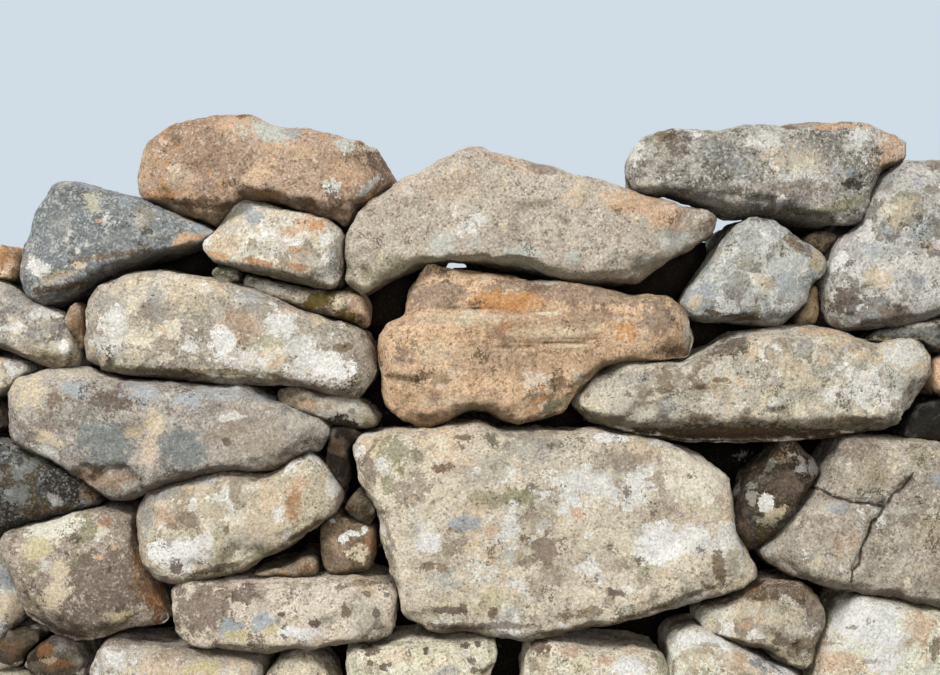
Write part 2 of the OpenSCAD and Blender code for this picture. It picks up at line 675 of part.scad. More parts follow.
module left_end_cope() {
    color([0.63, 0.60, 0.55])
        through_stones(["left_end_cope"]);
}
module left_cheek_stones() {
    color([0.61, 0.58, 0.52])
        through_stones(concat(["second_end_1"], keys("left_cheek", 1, 6)));
}
module right_cheek_stones() {
    color([0.63, 0.59, 0.53])
        through_stones(concat(["second_end_2"], keys("right_cheek", 1, 6)));
}
module rear_low_row() {
    color([0.66, 0.62, 0.55])
        rear_stones(["low_flat", "small_dark", "left_brown", "grey_white",
                     "triangle_low", "round_spotted", "cream_block", "white_slope",
                     "white_patch"]);
}
module rear_middle_row() {
    color([0.60, 0.57, 0.50])
        rear_stones(["left_grey", "square_mottled", "spotted_long", "thin_wedge",
                     "small_cube", "beige_wedge", "beige_slope", "dark_triangle"]);
}
module rear_upper_row() {
    color([0.63, 0.58, 0.51])
        rear_stones(["black_streaked", "recessed_dark", "dark_centre", "small_flat",
                     "left_low_pin", "left_small", "left_high_pin", "big_centre",
                     "cracked", "tilted_dark", "right_dark", "right_orange"]);
}
module inner_pinnings() {
    color([0.35, 0.32, 0.27])
        boulders([for (o = stones(keys("wedge", 1, 8))) wedge_rings(o)]);
}
module low_hearting() {
    color([0.42, 0.39, 0.34])
        boulders([for (i = [6:15]) hearting_rings(hearting_laid[i])]);
}
module upper_hearting() {
    color([0.40, 0.37, 0.32])
        boulders([for (i = [16:25]) hearting_rings(hearting_laid[i])]);
}

footing_stones();
second_course_front();
second_course_rear();
grey_white_stone();
round_spotted_stone();
cream_block_stone();
white_slope_stone();
white_patch_stone();
low_front_pinnings();
beige_slope_stone();
square_mottled_stone();
left_grey_stone();
spotted_long_stone();
beige_wedge_stone();
middle_pinnings();
black_streaked_stone();
dark_centre_stone();
big_centre_stone();
tilted_dark_stone();
cracked_stone();
edge_pinnings();
left_shoulder_stone();
lichen_beam_stone();
ledged_brown_stone();
wavy_cream_stone();
flat_green_stone();
upper_left_pinnings();
upper_right_pinnings();
left_orange_stone();
tan_block_stone();
triangular_stone();
tall_right_stone();
blue_wedge_cope();
brown_saddle_cope();
peaked_cope();
long_grey_cope();
left_end_cope();
left_cheek_stones();
right_cheek_stones();
rear_low_row();
rear_middle_row();
rear_upper_row();
inner_pinnings();
low_hearting();
upper_hearting();
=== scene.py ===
"""Looks of a dry stone field wall of rough granite boulders.

Every boulder starts as a copy of its solid in the frame. It is meshed finely, worn
round, roughened, and given its own cracks and ledges. Then it gets a granite, with the
stains and lichens that grow on it placed where they are on the real wall.

Places on the wall are given as they are seen from in front of it: x along it and z
above the ground, in millimetres. Colours are given as they look in daylight, from 0 to
255.
"""

import logging
import math
import random
from collections.abc import Iterable
from dataclasses import dataclass, field, replace
from enum import Enum

import bmesh
import bpy
import numpy as np
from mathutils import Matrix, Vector, noise


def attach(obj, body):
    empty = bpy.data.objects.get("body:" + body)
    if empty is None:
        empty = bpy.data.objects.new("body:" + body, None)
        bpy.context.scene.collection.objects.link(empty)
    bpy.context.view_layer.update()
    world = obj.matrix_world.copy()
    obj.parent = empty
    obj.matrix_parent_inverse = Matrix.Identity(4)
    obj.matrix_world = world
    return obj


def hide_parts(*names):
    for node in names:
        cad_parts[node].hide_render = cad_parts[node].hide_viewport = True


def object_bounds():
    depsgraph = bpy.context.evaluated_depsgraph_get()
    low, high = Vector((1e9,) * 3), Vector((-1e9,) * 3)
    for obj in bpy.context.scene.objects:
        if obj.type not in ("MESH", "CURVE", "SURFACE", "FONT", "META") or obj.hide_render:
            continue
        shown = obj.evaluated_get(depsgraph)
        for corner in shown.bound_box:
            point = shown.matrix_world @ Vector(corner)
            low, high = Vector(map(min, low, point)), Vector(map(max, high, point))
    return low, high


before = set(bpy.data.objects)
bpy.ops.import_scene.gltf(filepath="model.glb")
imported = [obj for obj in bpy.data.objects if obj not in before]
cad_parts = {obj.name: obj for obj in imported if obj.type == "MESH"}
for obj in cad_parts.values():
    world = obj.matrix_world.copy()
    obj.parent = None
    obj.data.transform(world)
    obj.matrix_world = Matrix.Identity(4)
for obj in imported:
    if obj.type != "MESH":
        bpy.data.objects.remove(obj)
CAD_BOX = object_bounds()

log = logging.getLogger("dry_stone_wall")

MM = 0.001
EYE = (0.0, -2.172, 0.956)
READING_DISTANCE = 2.0
SAME_PLACE_DIGITS = 5
# Patches are laid as if the whole front stood at one depth; they fade behind it.
PATCH_DEPTH = -0.2
PATCH_REACH = 0.16
FRONT_END = -0.08
REAR_STRETCH = 2.0
Tint = tuple[float, float, float]
Place = tuple[float, float]


def seen_places(points: np.ndarray) -> np.ndarray:
    """Gives the places on the wall where points are seen from in front of it.

    Args:
        points: Points in metres, one row each.

    Returns:
        Their places in metres: x and z as they are seen, and y as it is.
    """
    eye = np.array(EYE)
    nearness = READING_DISTANCE / (points[:, 1:2] - eye[1])
    places = eye + (points - eye) * nearness
    places[:, 1] = points[:, 1]
    return places


# ---------------------------------------------------------------- colours and patches


def linear(tint: Tint) -> tuple[float, float, float, float]:
    """Turns a colour as it looks into the values that a shader takes.

    Args:
        tint: Red, green and blue from 0 to 255.

    Returns:
        The linear colour with full alpha.
    """
    parts = [part / 255.0 for part in tint]
    red, green, blue = (
        part / 12.92 if part <= 0.04045 else ((part + 0.055) / 1.055) ** 2.4
        for part in parts
    )
    return (red, green, blue, 1.0)


class Growth(Enum):
    """How a patch lies on the stone."""

    STAIN = "in the stone, under its grain"
    CRUST = "a lichen crust over the grain"


@dataclass(frozen=True)
class Patch:
    """A stain or a lichen at its place on the front of the wall."""

    at: Place
    size: Place
    tint: Tint
    cover: float = 0.8
    ragged: float = 1.2
    turn: float = 0.0
    growth: Growth = Growth.STAIN


def crust(
    x: float,
    z: float,
    across: float,
    up: float,
    tint: Tint,
    cover: float = 0.85,
    ragged: float = 1.6,
    turn: float = 0.0,
) -> Patch:
    """Describes a lichen crust.

    Args:
        x: Middle along the wall, in mm.
        z: Middle above the ground, in mm.
        across: Half its width, in mm.
        up: Half its height, in mm.
        tint: Its colour.
        cover: How much of the stone it hides in its middle, up to 1.
        ragged: How far its edge wanders.
        turn: How far it leans, in degrees.

    Returns:
        The patch.
    """
    return Patch((x, z), (across, up), tint, cover, ragged, turn, Growth.CRUST)


def stain(
    x: float,
    z: float,
    across: float,
    up: float,
    tint: Tint,
    cover: float = 0.7,
    ragged: float = 1.4,
    turn: float = 0.0,
) -> Patch:
    """Describes a stain, with the same arguments as a crust."""
    return Patch((x, z), (across, up), tint, cover, ragged, turn, Growth.STAIN)


# A seam runs a little past both its ends.
SEAM_LAP = 0.56
SEAM_RAGGEDNESS = 0.45


def seam(
    start: Place, end: Place, width: float, tint: Tint, cover: float = 0.85
) -> Patch:
    """Describes the dark line of a crack between two places.

    Args:
        start: One end, in mm as it is seen.
        end: The other end.
        width: Half its width in mm.
        tint: Its colour.
        cover: How much of the stone it hides.

    Returns:
        A thin patch.
    """
    along, rise = end[0] - start[0], end[1] - start[1]
    return crust(
        0.5 * (start[0] + end[0]), 0.5 * (start[1] + end[1]),
        SEAM_LAP * math.hypot(along, rise), width, tint, cover, SEAM_RAGGEDNESS,
        math.degrees(math.atan2(rise, along)),
    )


# ---------------------------------------------------------------- shader groups


class Sheet:
    """A node tree with short ways to add nodes and join them."""

    def __init__(self, tree: bpy.types.NodeTree) -> None:
        """Keeps the tree and empties it.

        Args:
            tree: The node tree of a material, a group or the world.
        """
        self.tree = tree
        tree.nodes.clear()

    def add(
        self, kind: str, feeds: dict | None = None, **options: object
    ) -> bpy.types.Node:
        """Adds a node.

        Args:
            kind: The node's type name.
            feeds: What goes into its sockets, by name or number: a value or an output.
            options: Settings of the node itself.

        Returns:
            The new node.
        """
        node = self.tree.nodes.new(kind)
        for key, value in options.items():
            setattr(node, key, value)
        for key, value in (feeds or {}).items():
            if isinstance(value, bpy.types.NodeSocket):
                self.tree.links.new(value, node.inputs[key])
            else:
                node.inputs[key].default_value = value
        return node

    def calc(self, operation: str, *parts: object, clamp: bool = False) -> object:
        """Adds a Math node and returns its output."""
        node = self.add(
            "ShaderNodeMath",
            dict(enumerate(parts)),
            operation=operation,
            use_clamp=clamp,
        )
        return node.outputs[0]

    def vector(self, operation: str, *parts: object) -> object:
        """Adds a Vector Math node and returns its vector."""
        node = self.add(
            "ShaderNodeVectorMath", dict(enumerate(parts)), operation=operation
        )
        return node.outputs[0]

    def scaled(self, place: object, factor: object) -> object:
        """Scales a vector by a plain value and returns it."""
        node = self.add(
            "ShaderNodeVectorMath", {0: place, "Scale": factor}, operation="SCALE"
        )
        return node.outputs[0]

    def ramp(
        self, value: object, low: object, high: object, smooth: bool = True
    ) -> object:
        """Spreads a value so that low becomes 0 and high becomes 1."""
        node = self.add(
            "ShaderNodeMapRange",
            {"Value": value, "From Min": low, "From Max": high},
            interpolation_type="SMOOTHSTEP" if smooth else "LINEAR",
        )
        return node.outputs["Result"]

    def blend(
        self, amount: object, under: object, over: object, mode: str = "MIX"
    ) -> object:
        """Lays one colour over another and returns the colour."""
        node = self.add(
            "ShaderNodeMix",
            {0: amount, 6: under, 7: over},
            data_type="RGBA",
            blend_type=mode,
        )
        return node.outputs[2]

    def noise(
        self,
        place: object,
        scale: object,
        detail: float = 3.0,
        rough: float = 0.6,
        gives: str = "Fac",
    ) -> object:
        """Adds a Noise Texture and returns its value or its colour."""
        node = self.add(
            "ShaderNodeTexNoise",
            {"Vector": place, "Scale": scale, "Detail": detail, "Roughness": rough},
        )
        return node.outputs[gives]

    def cells(self, place: object, scale: object, **feeds: object) -> tuple:
        """Adds a Voronoi Texture and returns its distance and two lucky numbers."""
        node = self.add(
            "ShaderNodeTexVoronoi", {"Vector": place, "Scale": scale} | feeds
        )
        luck = self.add("ShaderNodeSeparateColor", {0: node.outputs["Color"]}).outputs
        return node.outputs["Distance"], luck[0], luck[1]

    def group(self, tree: bpy.types.NodeTree, **feeds: object) -> Iterable:
        """Places a shared effect with its own values and returns its outputs."""
        named = {label.replace("_", " "): value for label, value in feeds.items()}
        node = self.tree.nodes.new("ShaderNodeGroup")
        node.node_tree = tree
        for label, value in named.items():
            if isinstance(value, bpy.types.NodeSocket):
                self.tree.links.new(value, node.inputs[label])
            else:
                node.inputs[label].default_value = value
        return node.outputs


def new_group(name: str, takes: dict[str, tuple], gives: Iterable[str]) -> Sheet:
    """Starts a shader node group.

    Args:
        name: The group's name.
        takes: Its inputs, each with its socket type and its usual value.
        gives: Its outputs, all plain values.

    Returns:
        The sheet of the group. Its nodes "in" and "out" are the group's ends.
    """
    tree = bpy.data.node_groups.new(name, "ShaderNodeTree")
    sheet = Sheet(tree)
    for label, (kind, usual) in takes.items():
        socket = tree.interface.new_socket(
            label, in_out="INPUT", socket_type=f"NodeSocket{kind}"
        )
        if usual is not None:
            socket.default_value = usual
    for label in gives:
        tree.interface.new_socket(
            label, in_out="OUTPUT", socket_type="NodeSocketFloat"
        )
    sheet.add("NodeGroupInput", name="in")
    sheet.add("NodeGroupOutput", name="out")
    return sheet


def close_group(sheet: Sheet, **results: object) -> bpy.types.NodeTree:
    """Joins a group's results to its outputs.

    Args:
        sheet: The group's sheet.
        results: The value for each output, its spaces written as underscores.

    Returns:
        The finished group.
    """
    out = sheet.tree.nodes["out"]
    for label, value in results.items():
        sheet.tree.links.new(value, out.inputs[label.replace("_", " ")])
    return sheet.tree


@dataclass(frozen=True)
class ShaderGroups:
    """The effects that the granites share, each built once."""

    grain: bpy.types.NodeTree
    mottling: bpy.types.NodeTree
    mosaic: bpy.types.NodeTree
    patch: bpy.types.NodeTree
    spots: bpy.types.NodeTree
    relief: bpy.types.NodeTree
    damp: bpy.types.NodeTree


def granite_grain() -> bpy.types.NodeTree:
    """Builds the mineral grain: dark and pale crystals of a few millimetres."""
    sheet = new_group(
        "granite_grain",
        {"Vector": ("Vector", None), "Size": ("Float", 0.003)},
        ("Dark", "Pale", "Shade", "Cloud", "Height"),
    )
    ends = sheet.tree.nodes["in"].outputs
    scale = sheet.calc("DIVIDE", 1.0, ends["Size"])
    _, first, second = sheet.cells(ends["Vector"], scale)
    cloud = sheet.noise(ends["Vector"], sheet.calc("MULTIPLY", scale, 0.2), 5.0, 0.78)
    fine = sheet.noise(ends["Vector"], sheet.calc("MULTIPLY", scale, 0.7), 3.0, 0.75)
    dark = sheet.calc("ADD", first, sheet.calc("MULTIPLY", cloud, 2.4))
    pale = sheet.calc("ADD", second, sheet.calc("MULTIPLY", cloud, -2.4))
    return close_group(
        sheet,
        Dark=sheet.ramp(dark, 1.85, 2.35),
        Pale=sheet.ramp(pale, -0.65, -0.1),
        Shade=sheet.ramp(fine, 0.3, 0.7, smooth=False),
        Cloud=sheet.calc("SUBTRACT", cloud, 0.5),
        Height=sheet.calc("ADD", first, sheet.calc("MULTIPLY", cloud, 3.0)),
    )


def mottling() -> bpy.types.NodeTree:
    """Builds broad mottling with edges that are neither sharp nor faded."""
    sheet = new_group(
        "mottling",
        {
            "Vector": ("Vector", None),
            "Size": ("Float", 0.09),
            "Share": ("Float", 0.5),
            "Softness": ("Float", 0.12),
        },
        ("Mask",),
    )
    ends = sheet.tree.nodes["in"].outputs
    scale = sheet.calc("DIVIDE", 1.0, ends["Size"])
    cloud = sheet.noise(ends["Vector"], scale, 6.0, 0.7)
    edge = sheet.calc(
        "SUBTRACT", 0.66, sheet.calc("MULTIPLY", ends["Share"], 0.32)
    )
    low = sheet.calc("SUBTRACT", edge, ends["Softness"])
    high = sheet.calc("ADD", edge, ends["Softness"])
    return close_group(sheet, Mask=sheet.ramp(cloud, low, high))


def lichen_mosaic() -> bpy.types.NodeTree:
    """Builds the crusts that grow against each other, each with its own number."""
    sheet = new_group(
        "lichen_mosaic",
        {
            "Vector": ("Vector", None),
            "Warp": ("Vector", None),
            "Edge": ("Float", 0.5),
            "Size": ("Float", 0.05),
            "Cover": ("Float", 0.5),
        },
        ("Mask", "Pick"),
    )
    ends = sheet.tree.nodes["in"].outputs
    pushed = sheet.vector(
        "ADD",
        ends["Vector"],
        sheet.scaled(ends["Warp"], sheet.calc("MULTIPLY", ends["Size"], 2.6)),
    )
    scale = sheet.calc("DIVIDE", 1.0, ends["Size"])
    far, luck, pick = sheet.cells(pushed, scale)
    wander = sheet.calc("MULTIPLY", sheet.calc("SUBTRACT", ends["Edge"], 0.5), 2.4)
    room = sheet.calc(
        "SUBTRACT", sheet.calc("MULTIPLY", ends["Cover"], 1.7), luck
    )
    reach = sheet.calc("ADD", sheet.calc("SUBTRACT", room, far), wander)
    return close_group(sheet, Mask=sheet.ramp(reach, -0.07, 0.04), Pick=pick)


def placed_patch() -> bpy.types.NodeTree:
    """Builds one patch at a place, its edge eaten by the noise handed to it."""
    sheet = new_group(
        "placed_patch",
        {
            "Vector": ("Vector", None),
            "Warp": ("Vector", (0.0, 0.0, 0.0)),
            "Wander": ("Float", 0.0),
            "Centre": ("Vector", (0.0, 0.0, 0.0)),
            "Radius": ("Vector", (0.1, 0.1, 0.1)),
            "Turn": ("Vector", (0.0, 0.0, 0.0)),
            "Ragged": ("Float", 1.5),
            "Softness": ("Float", 0.18),
            "Cover": ("Float", 0.8),
        },
        ("Mask",),
    )
    ends = sheet.tree.nodes["in"].outputs
    local = sheet.add(
        "ShaderNodeMapping",
        {
            "Vector": ends["Vector"],
            "Location": ends["Centre"],
            "Rotation": ends["Turn"],
            "Scale": ends["Radius"],
        },
        vector_type="TEXTURE",
    ).outputs[0]
    bent = sheet.vector("ADD", local, ends["Warp"])
    far = sheet.add(
        "ShaderNodeVectorMath", {0: bent}, operation="LENGTH"
    ).outputs["Value"]
    wander = sheet.calc("MULTIPLY", ends["Wander"], ends["Ragged"])
    out = sheet.calc("SUBTRACT", far, wander)
    mask = sheet.add(
        "ShaderNodeMapRange",
        {
            "Value": out,
            "From Min": sheet.calc("ADD", 1.0, ends["Softness"]),
            "From Max": sheet.calc("SUBTRACT", 1.0, ends["Softness"]),
            "To Max": ends["Cover"],
        },
        interpolation_type="SMOOTHSTEP",
    ).outputs["Result"]
    return close_group(sheet, Mask=mask)


def lichen_spots() -> bpy.types.NodeTree:
    """Builds scattered small crusts of mixed sizes, with granular edges."""
    sheet = new_group(
        "lichen_spots",
        {
            "Vector": ("Vector", None),
            "Edge": ("Float", 0.5),
            "Size": ("Float", 0.03),
            "Cover": ("Float", 0.3),
        },
        ("Mask",),
    )
    ends = sheet.tree.nodes["in"].outputs
    far, luck, _ = sheet.cells(
        ends["Vector"],
        sheet.calc("DIVIDE", 1.0, ends["Size"]),
        Detail=2.0,
        Roughness=0.7,
    )
    room = sheet.calc(
        "SUBTRACT", sheet.calc("MULTIPLY", ends["Cover"], 1.25), luck
    )
    wander = sheet.calc(
        "MULTIPLY", sheet.calc("SUBTRACT", ends["Edge"], 0.5), 3.2
    )
    reach = sheet.calc("SUBTRACT", sheet.calc("ADD", room, wander), far)
    return close_group(sheet, Mask=sheet.ramp(reach, -0.1, 0.08))


def surface_relief() -> bpy.types.NodeTree:
    """Builds the height of weathered granite, in millimetres, and a mask of its pits for
    painted shade.
    """
    sheet = new_group(
        "surface_relief",
        {"Vector": ("Vector", None), "Depth": ("Float", 1.0)},
        ("Height", "Pits"),
    )
    ends = sheet.tree.nodes["in"].outputs
    lumps = sheet.noise(ends["Vector"], 30.0, 6.0, 0.68)
    creased = sheet.calc("ABSOLUTE", sheet.calc("SUBTRACT", lumps, 0.5))
    grit = sheet.noise(ends["Vector"], 290.0, 3.0, 0.8)
    height = sheet.calc(
        "ADD",
        sheet.calc("MULTIPLY", lumps, 9.5),
        sheet.calc(
            "ADD",
            sheet.calc("MULTIPLY", grit, 4.8),
            sheet.calc("MULTIPLY", creased, 4.0),
        ),
    )
    low = sheet.calc("ADD", lumps, sheet.calc("MULTIPLY", grit, 0.55))
    return close_group(
        sheet,
        Height=sheet.calc("MULTIPLY", height, ends["Depth"]),
        Pits=sheet.ramp(low, 0.74, 0.6),
    )


def damp_underside() -> bpy.types.NodeTree:
    """Builds the mask of the undersides, which are darkened: partly damp stone, partly
    painted shade.
    """
    sheet = new_group(
        "damp_underside",
        {
            "Normal": ("Vector", (0.0, 0.0, 1.0)),
            "Edge": ("Float", 0.5),
            "Reach": ("Float", 0.5),
        },
        ("Mask",),
    )
    ends = sheet.tree.nodes["in"].outputs
    up = sheet.add("ShaderNodeSeparateXYZ", {0: ends["Normal"]}).outputs["Z"]
    wander = sheet.calc(
        "MULTIPLY", sheet.calc("SUBTRACT", ends["Edge"], 0.5), 1.6
    )
    down = sheet.calc("ADD", sheet.calc("MULTIPLY", up, -1.0), wander)
    low = sheet.calc("SUBTRACT", 0.72, ends["Reach"])
    mask = sheet.ramp(down, low, sheet.calc("ADD", low, 0.5))
    return close_group(sheet, Mask=mask)


# ---------------------------------------------------------------- granites

Palette = tuple[Tint, ...]
CREAM_CRUSTS: Palette = (
    (243, 230, 205), (176, 160, 141), (231, 215, 186), (209, 198, 180),
    (247, 243, 233), (226, 203, 172),
)
GREY_CRUSTS: Palette = (
    (214, 212, 204), (138, 132, 122), (198, 193, 181), (168, 174, 176),
    (235, 232, 222), (160, 152, 132),
)
BROWN_CRUSTS: Palette = (
    (230, 198, 164), (156, 126, 101), (218, 182, 144), (188, 160, 134),
    (238, 219, 196), (200, 154, 108),
)
DARK_CRUSTS: Palette = (
    (134, 128, 118), (48, 42, 34), (90, 78, 62), (72, 70, 66), (172, 168, 158),
    (86, 76, 50),
)


WHITE: Tint = (250, 247, 240)
MILK: Tint = (238, 235, 226)
# Partly a pale crust, partly a painted highlight where a face turns towards the light.
IVORY_HIGHLIGHT: Tint = (248, 236, 213)
CREAM: Tint = (228, 210, 180)
PALE: Tint = (214, 205, 188)
SAND: Tint = (206, 188, 158)
LEMON: Tint = (216, 202, 152)
PEACH: Tint = (222, 184, 150)
ORANGE: Tint = (214, 156, 100)
RUST: Tint = (176, 122, 78)
BROWN: Tint = (132, 110, 86)
UMBER: Tint = (96, 76, 54)
BLACK: Tint = (58, 52, 44)
RECESS_SHADE: Tint = (34, 28, 20)
# Painted shade of stones that lie deep in a recess.
MAUVE: Tint = (150, 132, 117)
PLUM: Tint = (114, 97, 86)
BLUE: Tint = (182, 187, 188)
SLATE: Tint = (142, 145, 141)
SMOKE: Tint = (166, 164, 158)
SAGE: Tint = (204, 204, 192)
OLIVE: Tint = (158, 152, 118)
MOSS: Tint = (112, 94, 44)

PATCH_RAGGEDNESS = 2.6
PATCH_SOFTNESS = {Growth.CRUST: 0.05, Growth.STAIN: 0.12}
FULL_COVER = 0.97
COVER_GAIN = 1.15
# How much of the grains shows under the crusts, and over the stains.
GRAINS_UNDER = 0.8
GRAINS_OVER = 0.5


@dataclass(frozen=True)
class Granite:
    """One kind of weathered granite, with what grows all over it."""

    body: Tint
    second: Tint
    dark_grain: Tint = (96, 82, 64)
    pale_grain: Tint = (236, 226, 208)
    mottle_size: float = 0.11
    second_share: float = 0.5
    dark_amount: float = 0.6
    pale_amount: float = 0.5
    grain_size: float = 0.0029
    thalli: Palette = CREAM_CRUSTS
    thalli_size: float = 0.052
    thalli_cover: float = 0.6
    dots: float = 0.75
    pale_crust: float = 0.22
    crust_tint: Tint = (232, 228, 216)
    dark_crust: float = 0.12
    dark_tint: Tint = (84, 72, 54)
    crust_size: float = 0.02
    # What the undersides and hollows darken to: partly damp stone, partly painted shade.
    damp: Tint = (62, 50, 30)
    damp_reach: float = 0.42
    speckle: float = 0.68
    depth: float = 1.0
    roughness: float = 0.88
    patches: tuple[Patch, ...] = ()

    def of(
        self, body: Tint, second: Tint, *patches: Patch, **changes: object
    ) -> "Granite":
        """Gives this kind of granite in a stone's own colours.

        Args:
            body: The stone's main colour.
            second: The colour it is mottled with.
            patches: The stains and lichens on it.
            changes: What else differs from this kind.

        Returns:
            The stone's granite.
        """
        return replace(self, body=body, second=second, patches=patches, **changes)

    def dress(self, name: str, groups: ShaderGroups) -> bpy.types.Material:
        """Makes the material.

        Args:
            name: The material's name.
            groups: The shared effects.

        Returns:
            The material.
        """
        material = bpy.data.materials.new(name)
        material.use_nodes = True
        sheet = Sheet(material.node_tree)
        place = sheet.add("ShaderNodeTexCoord").outputs["Object"]
        seen = sheet.add("ShaderNodeAttribute", attribute_name="seen").outputs["Vector"]
        geometry = sheet.add("ShaderNodeNewGeometry").outputs
        edge = sheet.noise(place, 36.0, 6.0, 0.82)
        warp = sheet.vector(
            "SUBTRACT", sheet.noise(place, 14.0, 4.0, 0.7, "Color"), (0.5, 0.5, 0.5)
        )
        grain = sheet.group(groups.grain, Vector=place, Size=self.grain_size)
        relief = sheet.group(groups.relief, Vector=place, Depth=self.depth)

        wander = sheet.calc("ADD", sheet.calc("SUBTRACT", edge, 0.5), grain["Cloud"])
        bend = sheet.scaled(warp, 1.3)
        colour = self._stone(sheet, place, groups)
        colour = self._grains(sheet, colour, grain, GRAINS_UNDER)
        colour = self._thalli(sheet, colour, place, warp, edge, groups)
        laid = {"Vector": seen, "Wander": wander, "Warp": bend}
        colour = self._patches(sheet, colour, laid, Growth.STAIN, groups)
        colour = self._grains(sheet, colour, grain, GRAINS_OVER)
        pale_spots = sheet.group(
            groups.spots, Vector=place, Edge=edge,
            Size=self.crust_size * 1.7, Cover=self.pale_crust,
        )["Mask"]
        colour = sheet.blend(
            sheet.calc("MULTIPLY", pale_spots, 0.75), colour, linear(self.crust_tint)
        )
        # Painted shade in the pits of the relief, towards the dark grain's colour.
        colour = sheet.blend(
            sheet.calc("MULTIPLY", relief["Pits"], 0.3), colour, linear(self.dark_grain)
        )
        colour = self._patches(sheet, colour, laid, Growth.CRUST, groups)
        colour = self._dark_dots(sheet, colour, place, edge, groups)
        colour = self._hollows(sheet, colour, geometry)
        # The undersides darken here: partly damp stone, partly painted shade.
        damp = sheet.group(
            groups.damp, Normal=geometry["Normal"], Edge=edge, Reach=self.damp_reach
        )["Mask"]
        colour = sheet.blend(
            sheet.calc("MULTIPLY", damp, 0.75), colour, linear(self.damp)
        )
        shade = sheet.calc(
            "MULTIPLY_ADD", grain["Shade"], self.speckle, 1.0 - 0.5 * self.speckle
        )
        colour = sheet.scaled(colour, shade)
        height = sheet.calc(
            "ADD",
            relief["Height"],
            sheet.calc("MULTIPLY", grain["Height"], 0.45 * self.depth),
        )
        bump = sheet.add(
            "ShaderNodeBump", {"Strength": 1.0, "Distance": MM, "Height": height}
        ).outputs[0]
        rough = sheet.calc(
            "SUBTRACT", self.roughness, sheet.calc("MULTIPLY", grain["Pale"], 0.12)
        )
        shader = sheet.add(
            "ShaderNodeBsdfPrincipled",
            {"Base Color": colour, "Roughness": rough, "Normal": bump},
        )
        shader.inputs["Specular IOR Level"].default_value = 0.12
        sheet.add("ShaderNodeOutputMaterial", {"Surface": shader.outputs[0]})
        return material

    def _stone(self, sheet: Sheet, place: object, groups: ShaderGroups) -> object:
        """Mixes the stone's own two colours and its tone from stone to stone."""
        mask = sheet.group(
            groups.mottling,
            Vector=place,
            Size=self.mottle_size,
            Share=self.second_share,
            Softness=0.08,
        )["Mask"]
        tone = sheet.add(
            "ShaderNodeAttribute", attribute_name="tone", attribute_type="GEOMETRY"
        ).outputs["Fac"]
        colour = sheet.blend(mask, linear(self.body), linear(self.second))
        dull = sheet.calc("MULTIPLY", tone, 0.5)
        return sheet.blend(dull, colour, linear(self.dark_grain))

    def _grains(
        self, sheet: Sheet, colour: object, grain: dict[str, object], share: float
    ) -> object:
        """Strews the dark and the pale grains of the granite.

        Args:
            sheet: The material's sheet.
            colour: The colour under them.
            grain: What the grain group gives.
            share: How much of them shows.

        Returns:
            The colour with the grains.
        """
        for key, amount, tint in (
            ("Dark", self.dark_amount, self.dark_grain),
            ("Pale", self.pale_amount, self.pale_grain),
        ):
            mask = sheet.calc("MULTIPLY", grain[key], amount * share)
            colour = sheet.blend(mask, colour, linear(tint))
        return colour

    def _thalli(
        self,
        sheet: Sheet,
        colour: object,
        place: object,
        warp: object,
        edge: object,
        groups: ShaderGroups,
    ) -> object:
        """Lays two sizes of the crusts that grow against each other.

        Args:
            sheet: The material's sheet.
            colour: The colour under them.
            place: The place on the surface.
            warp: The noise that bends their outlines.
            edge: The noise that eats their edges.
            groups: The shared effects.

        Returns:
            The colour with the crusts.
        """
        for size, cover in ((1.0, 1.0), (0.42, 0.75)):
            mosaic = sheet.group(
                groups.mosaic,
                Vector=place,
                Warp=warp,
                Edge=edge,
                Size=self.thalli_size * size,
                Cover=self.thalli_cover * cover,
            )
            picked = sheet.add("ShaderNodeValToRGB", {0: mosaic["Pick"]})
            stops = picked.color_ramp
            stops.interpolation = "CONSTANT"
            for step, tint in enumerate(self.thalli):
                at = step / len(self.thalli)
                stop = stops.elements[0] if not step else stops.elements.new(at)
                stop.color = linear(tint)
            stops.elements.remove(stops.elements[-1])
            share = sheet.calc("MULTIPLY", mosaic["Mask"], 0.85)
            colour = sheet.blend(share, colour, picked.outputs[0])
        return colour

    def _dark_dots(
        self,
        sheet: Sheet,
        colour: object,
        place: object,
        edge: object,
        groups: ShaderGroups,
    ) -> object:
        """Sprinkles small dark crusts, and the black dots that lichens bear."""
        shifted = sheet.vector("ADD", place, (3.1, 1.7, 5.3))
        spots = sheet.group(
            groups.spots, Vector=shifted, Edge=edge,
            Size=self.crust_size, Cover=self.dark_crust,
        )["Mask"]
        colour = sheet.blend(
            sheet.calc("MULTIPLY", spots, 0.7), colour, linear(self.dark_tint)
        )
        crowd = sheet.noise(shifted, 24.0, 4.0, 0.66)
        pepper = sheet.noise(shifted, 310.0, 2.0, 0.6)
        room = sheet.calc("MULTIPLY_ADD", crowd, 2.2, pepper)
        dot = sheet.ramp(room, 1.9, 1.98)
        return sheet.blend(
            sheet.calc("MULTIPLY", dot, self.dots), colour, linear(self.dark_tint)
        )

    def _hollows(self, sheet: Sheet, colour: object, geometry: Iterable) -> object:
        """Darkens the hollows with painted shade, and wears the arrises pale."""
        sharp = geometry["Pointiness"]
        # Painted shade: the hollows are darkened as if shaded.
        hollow = sheet.calc("MULTIPLY", sheet.ramp(sharp, 0.49, 0.42), 0.6)
        worn = sheet.calc("MULTIPLY", sheet.ramp(sharp, 0.52, 0.6), 0.35)
        colour = sheet.blend(hollow, colour, linear(self.damp))
        return sheet.blend(worn, colour, linear(self.pale_grain))

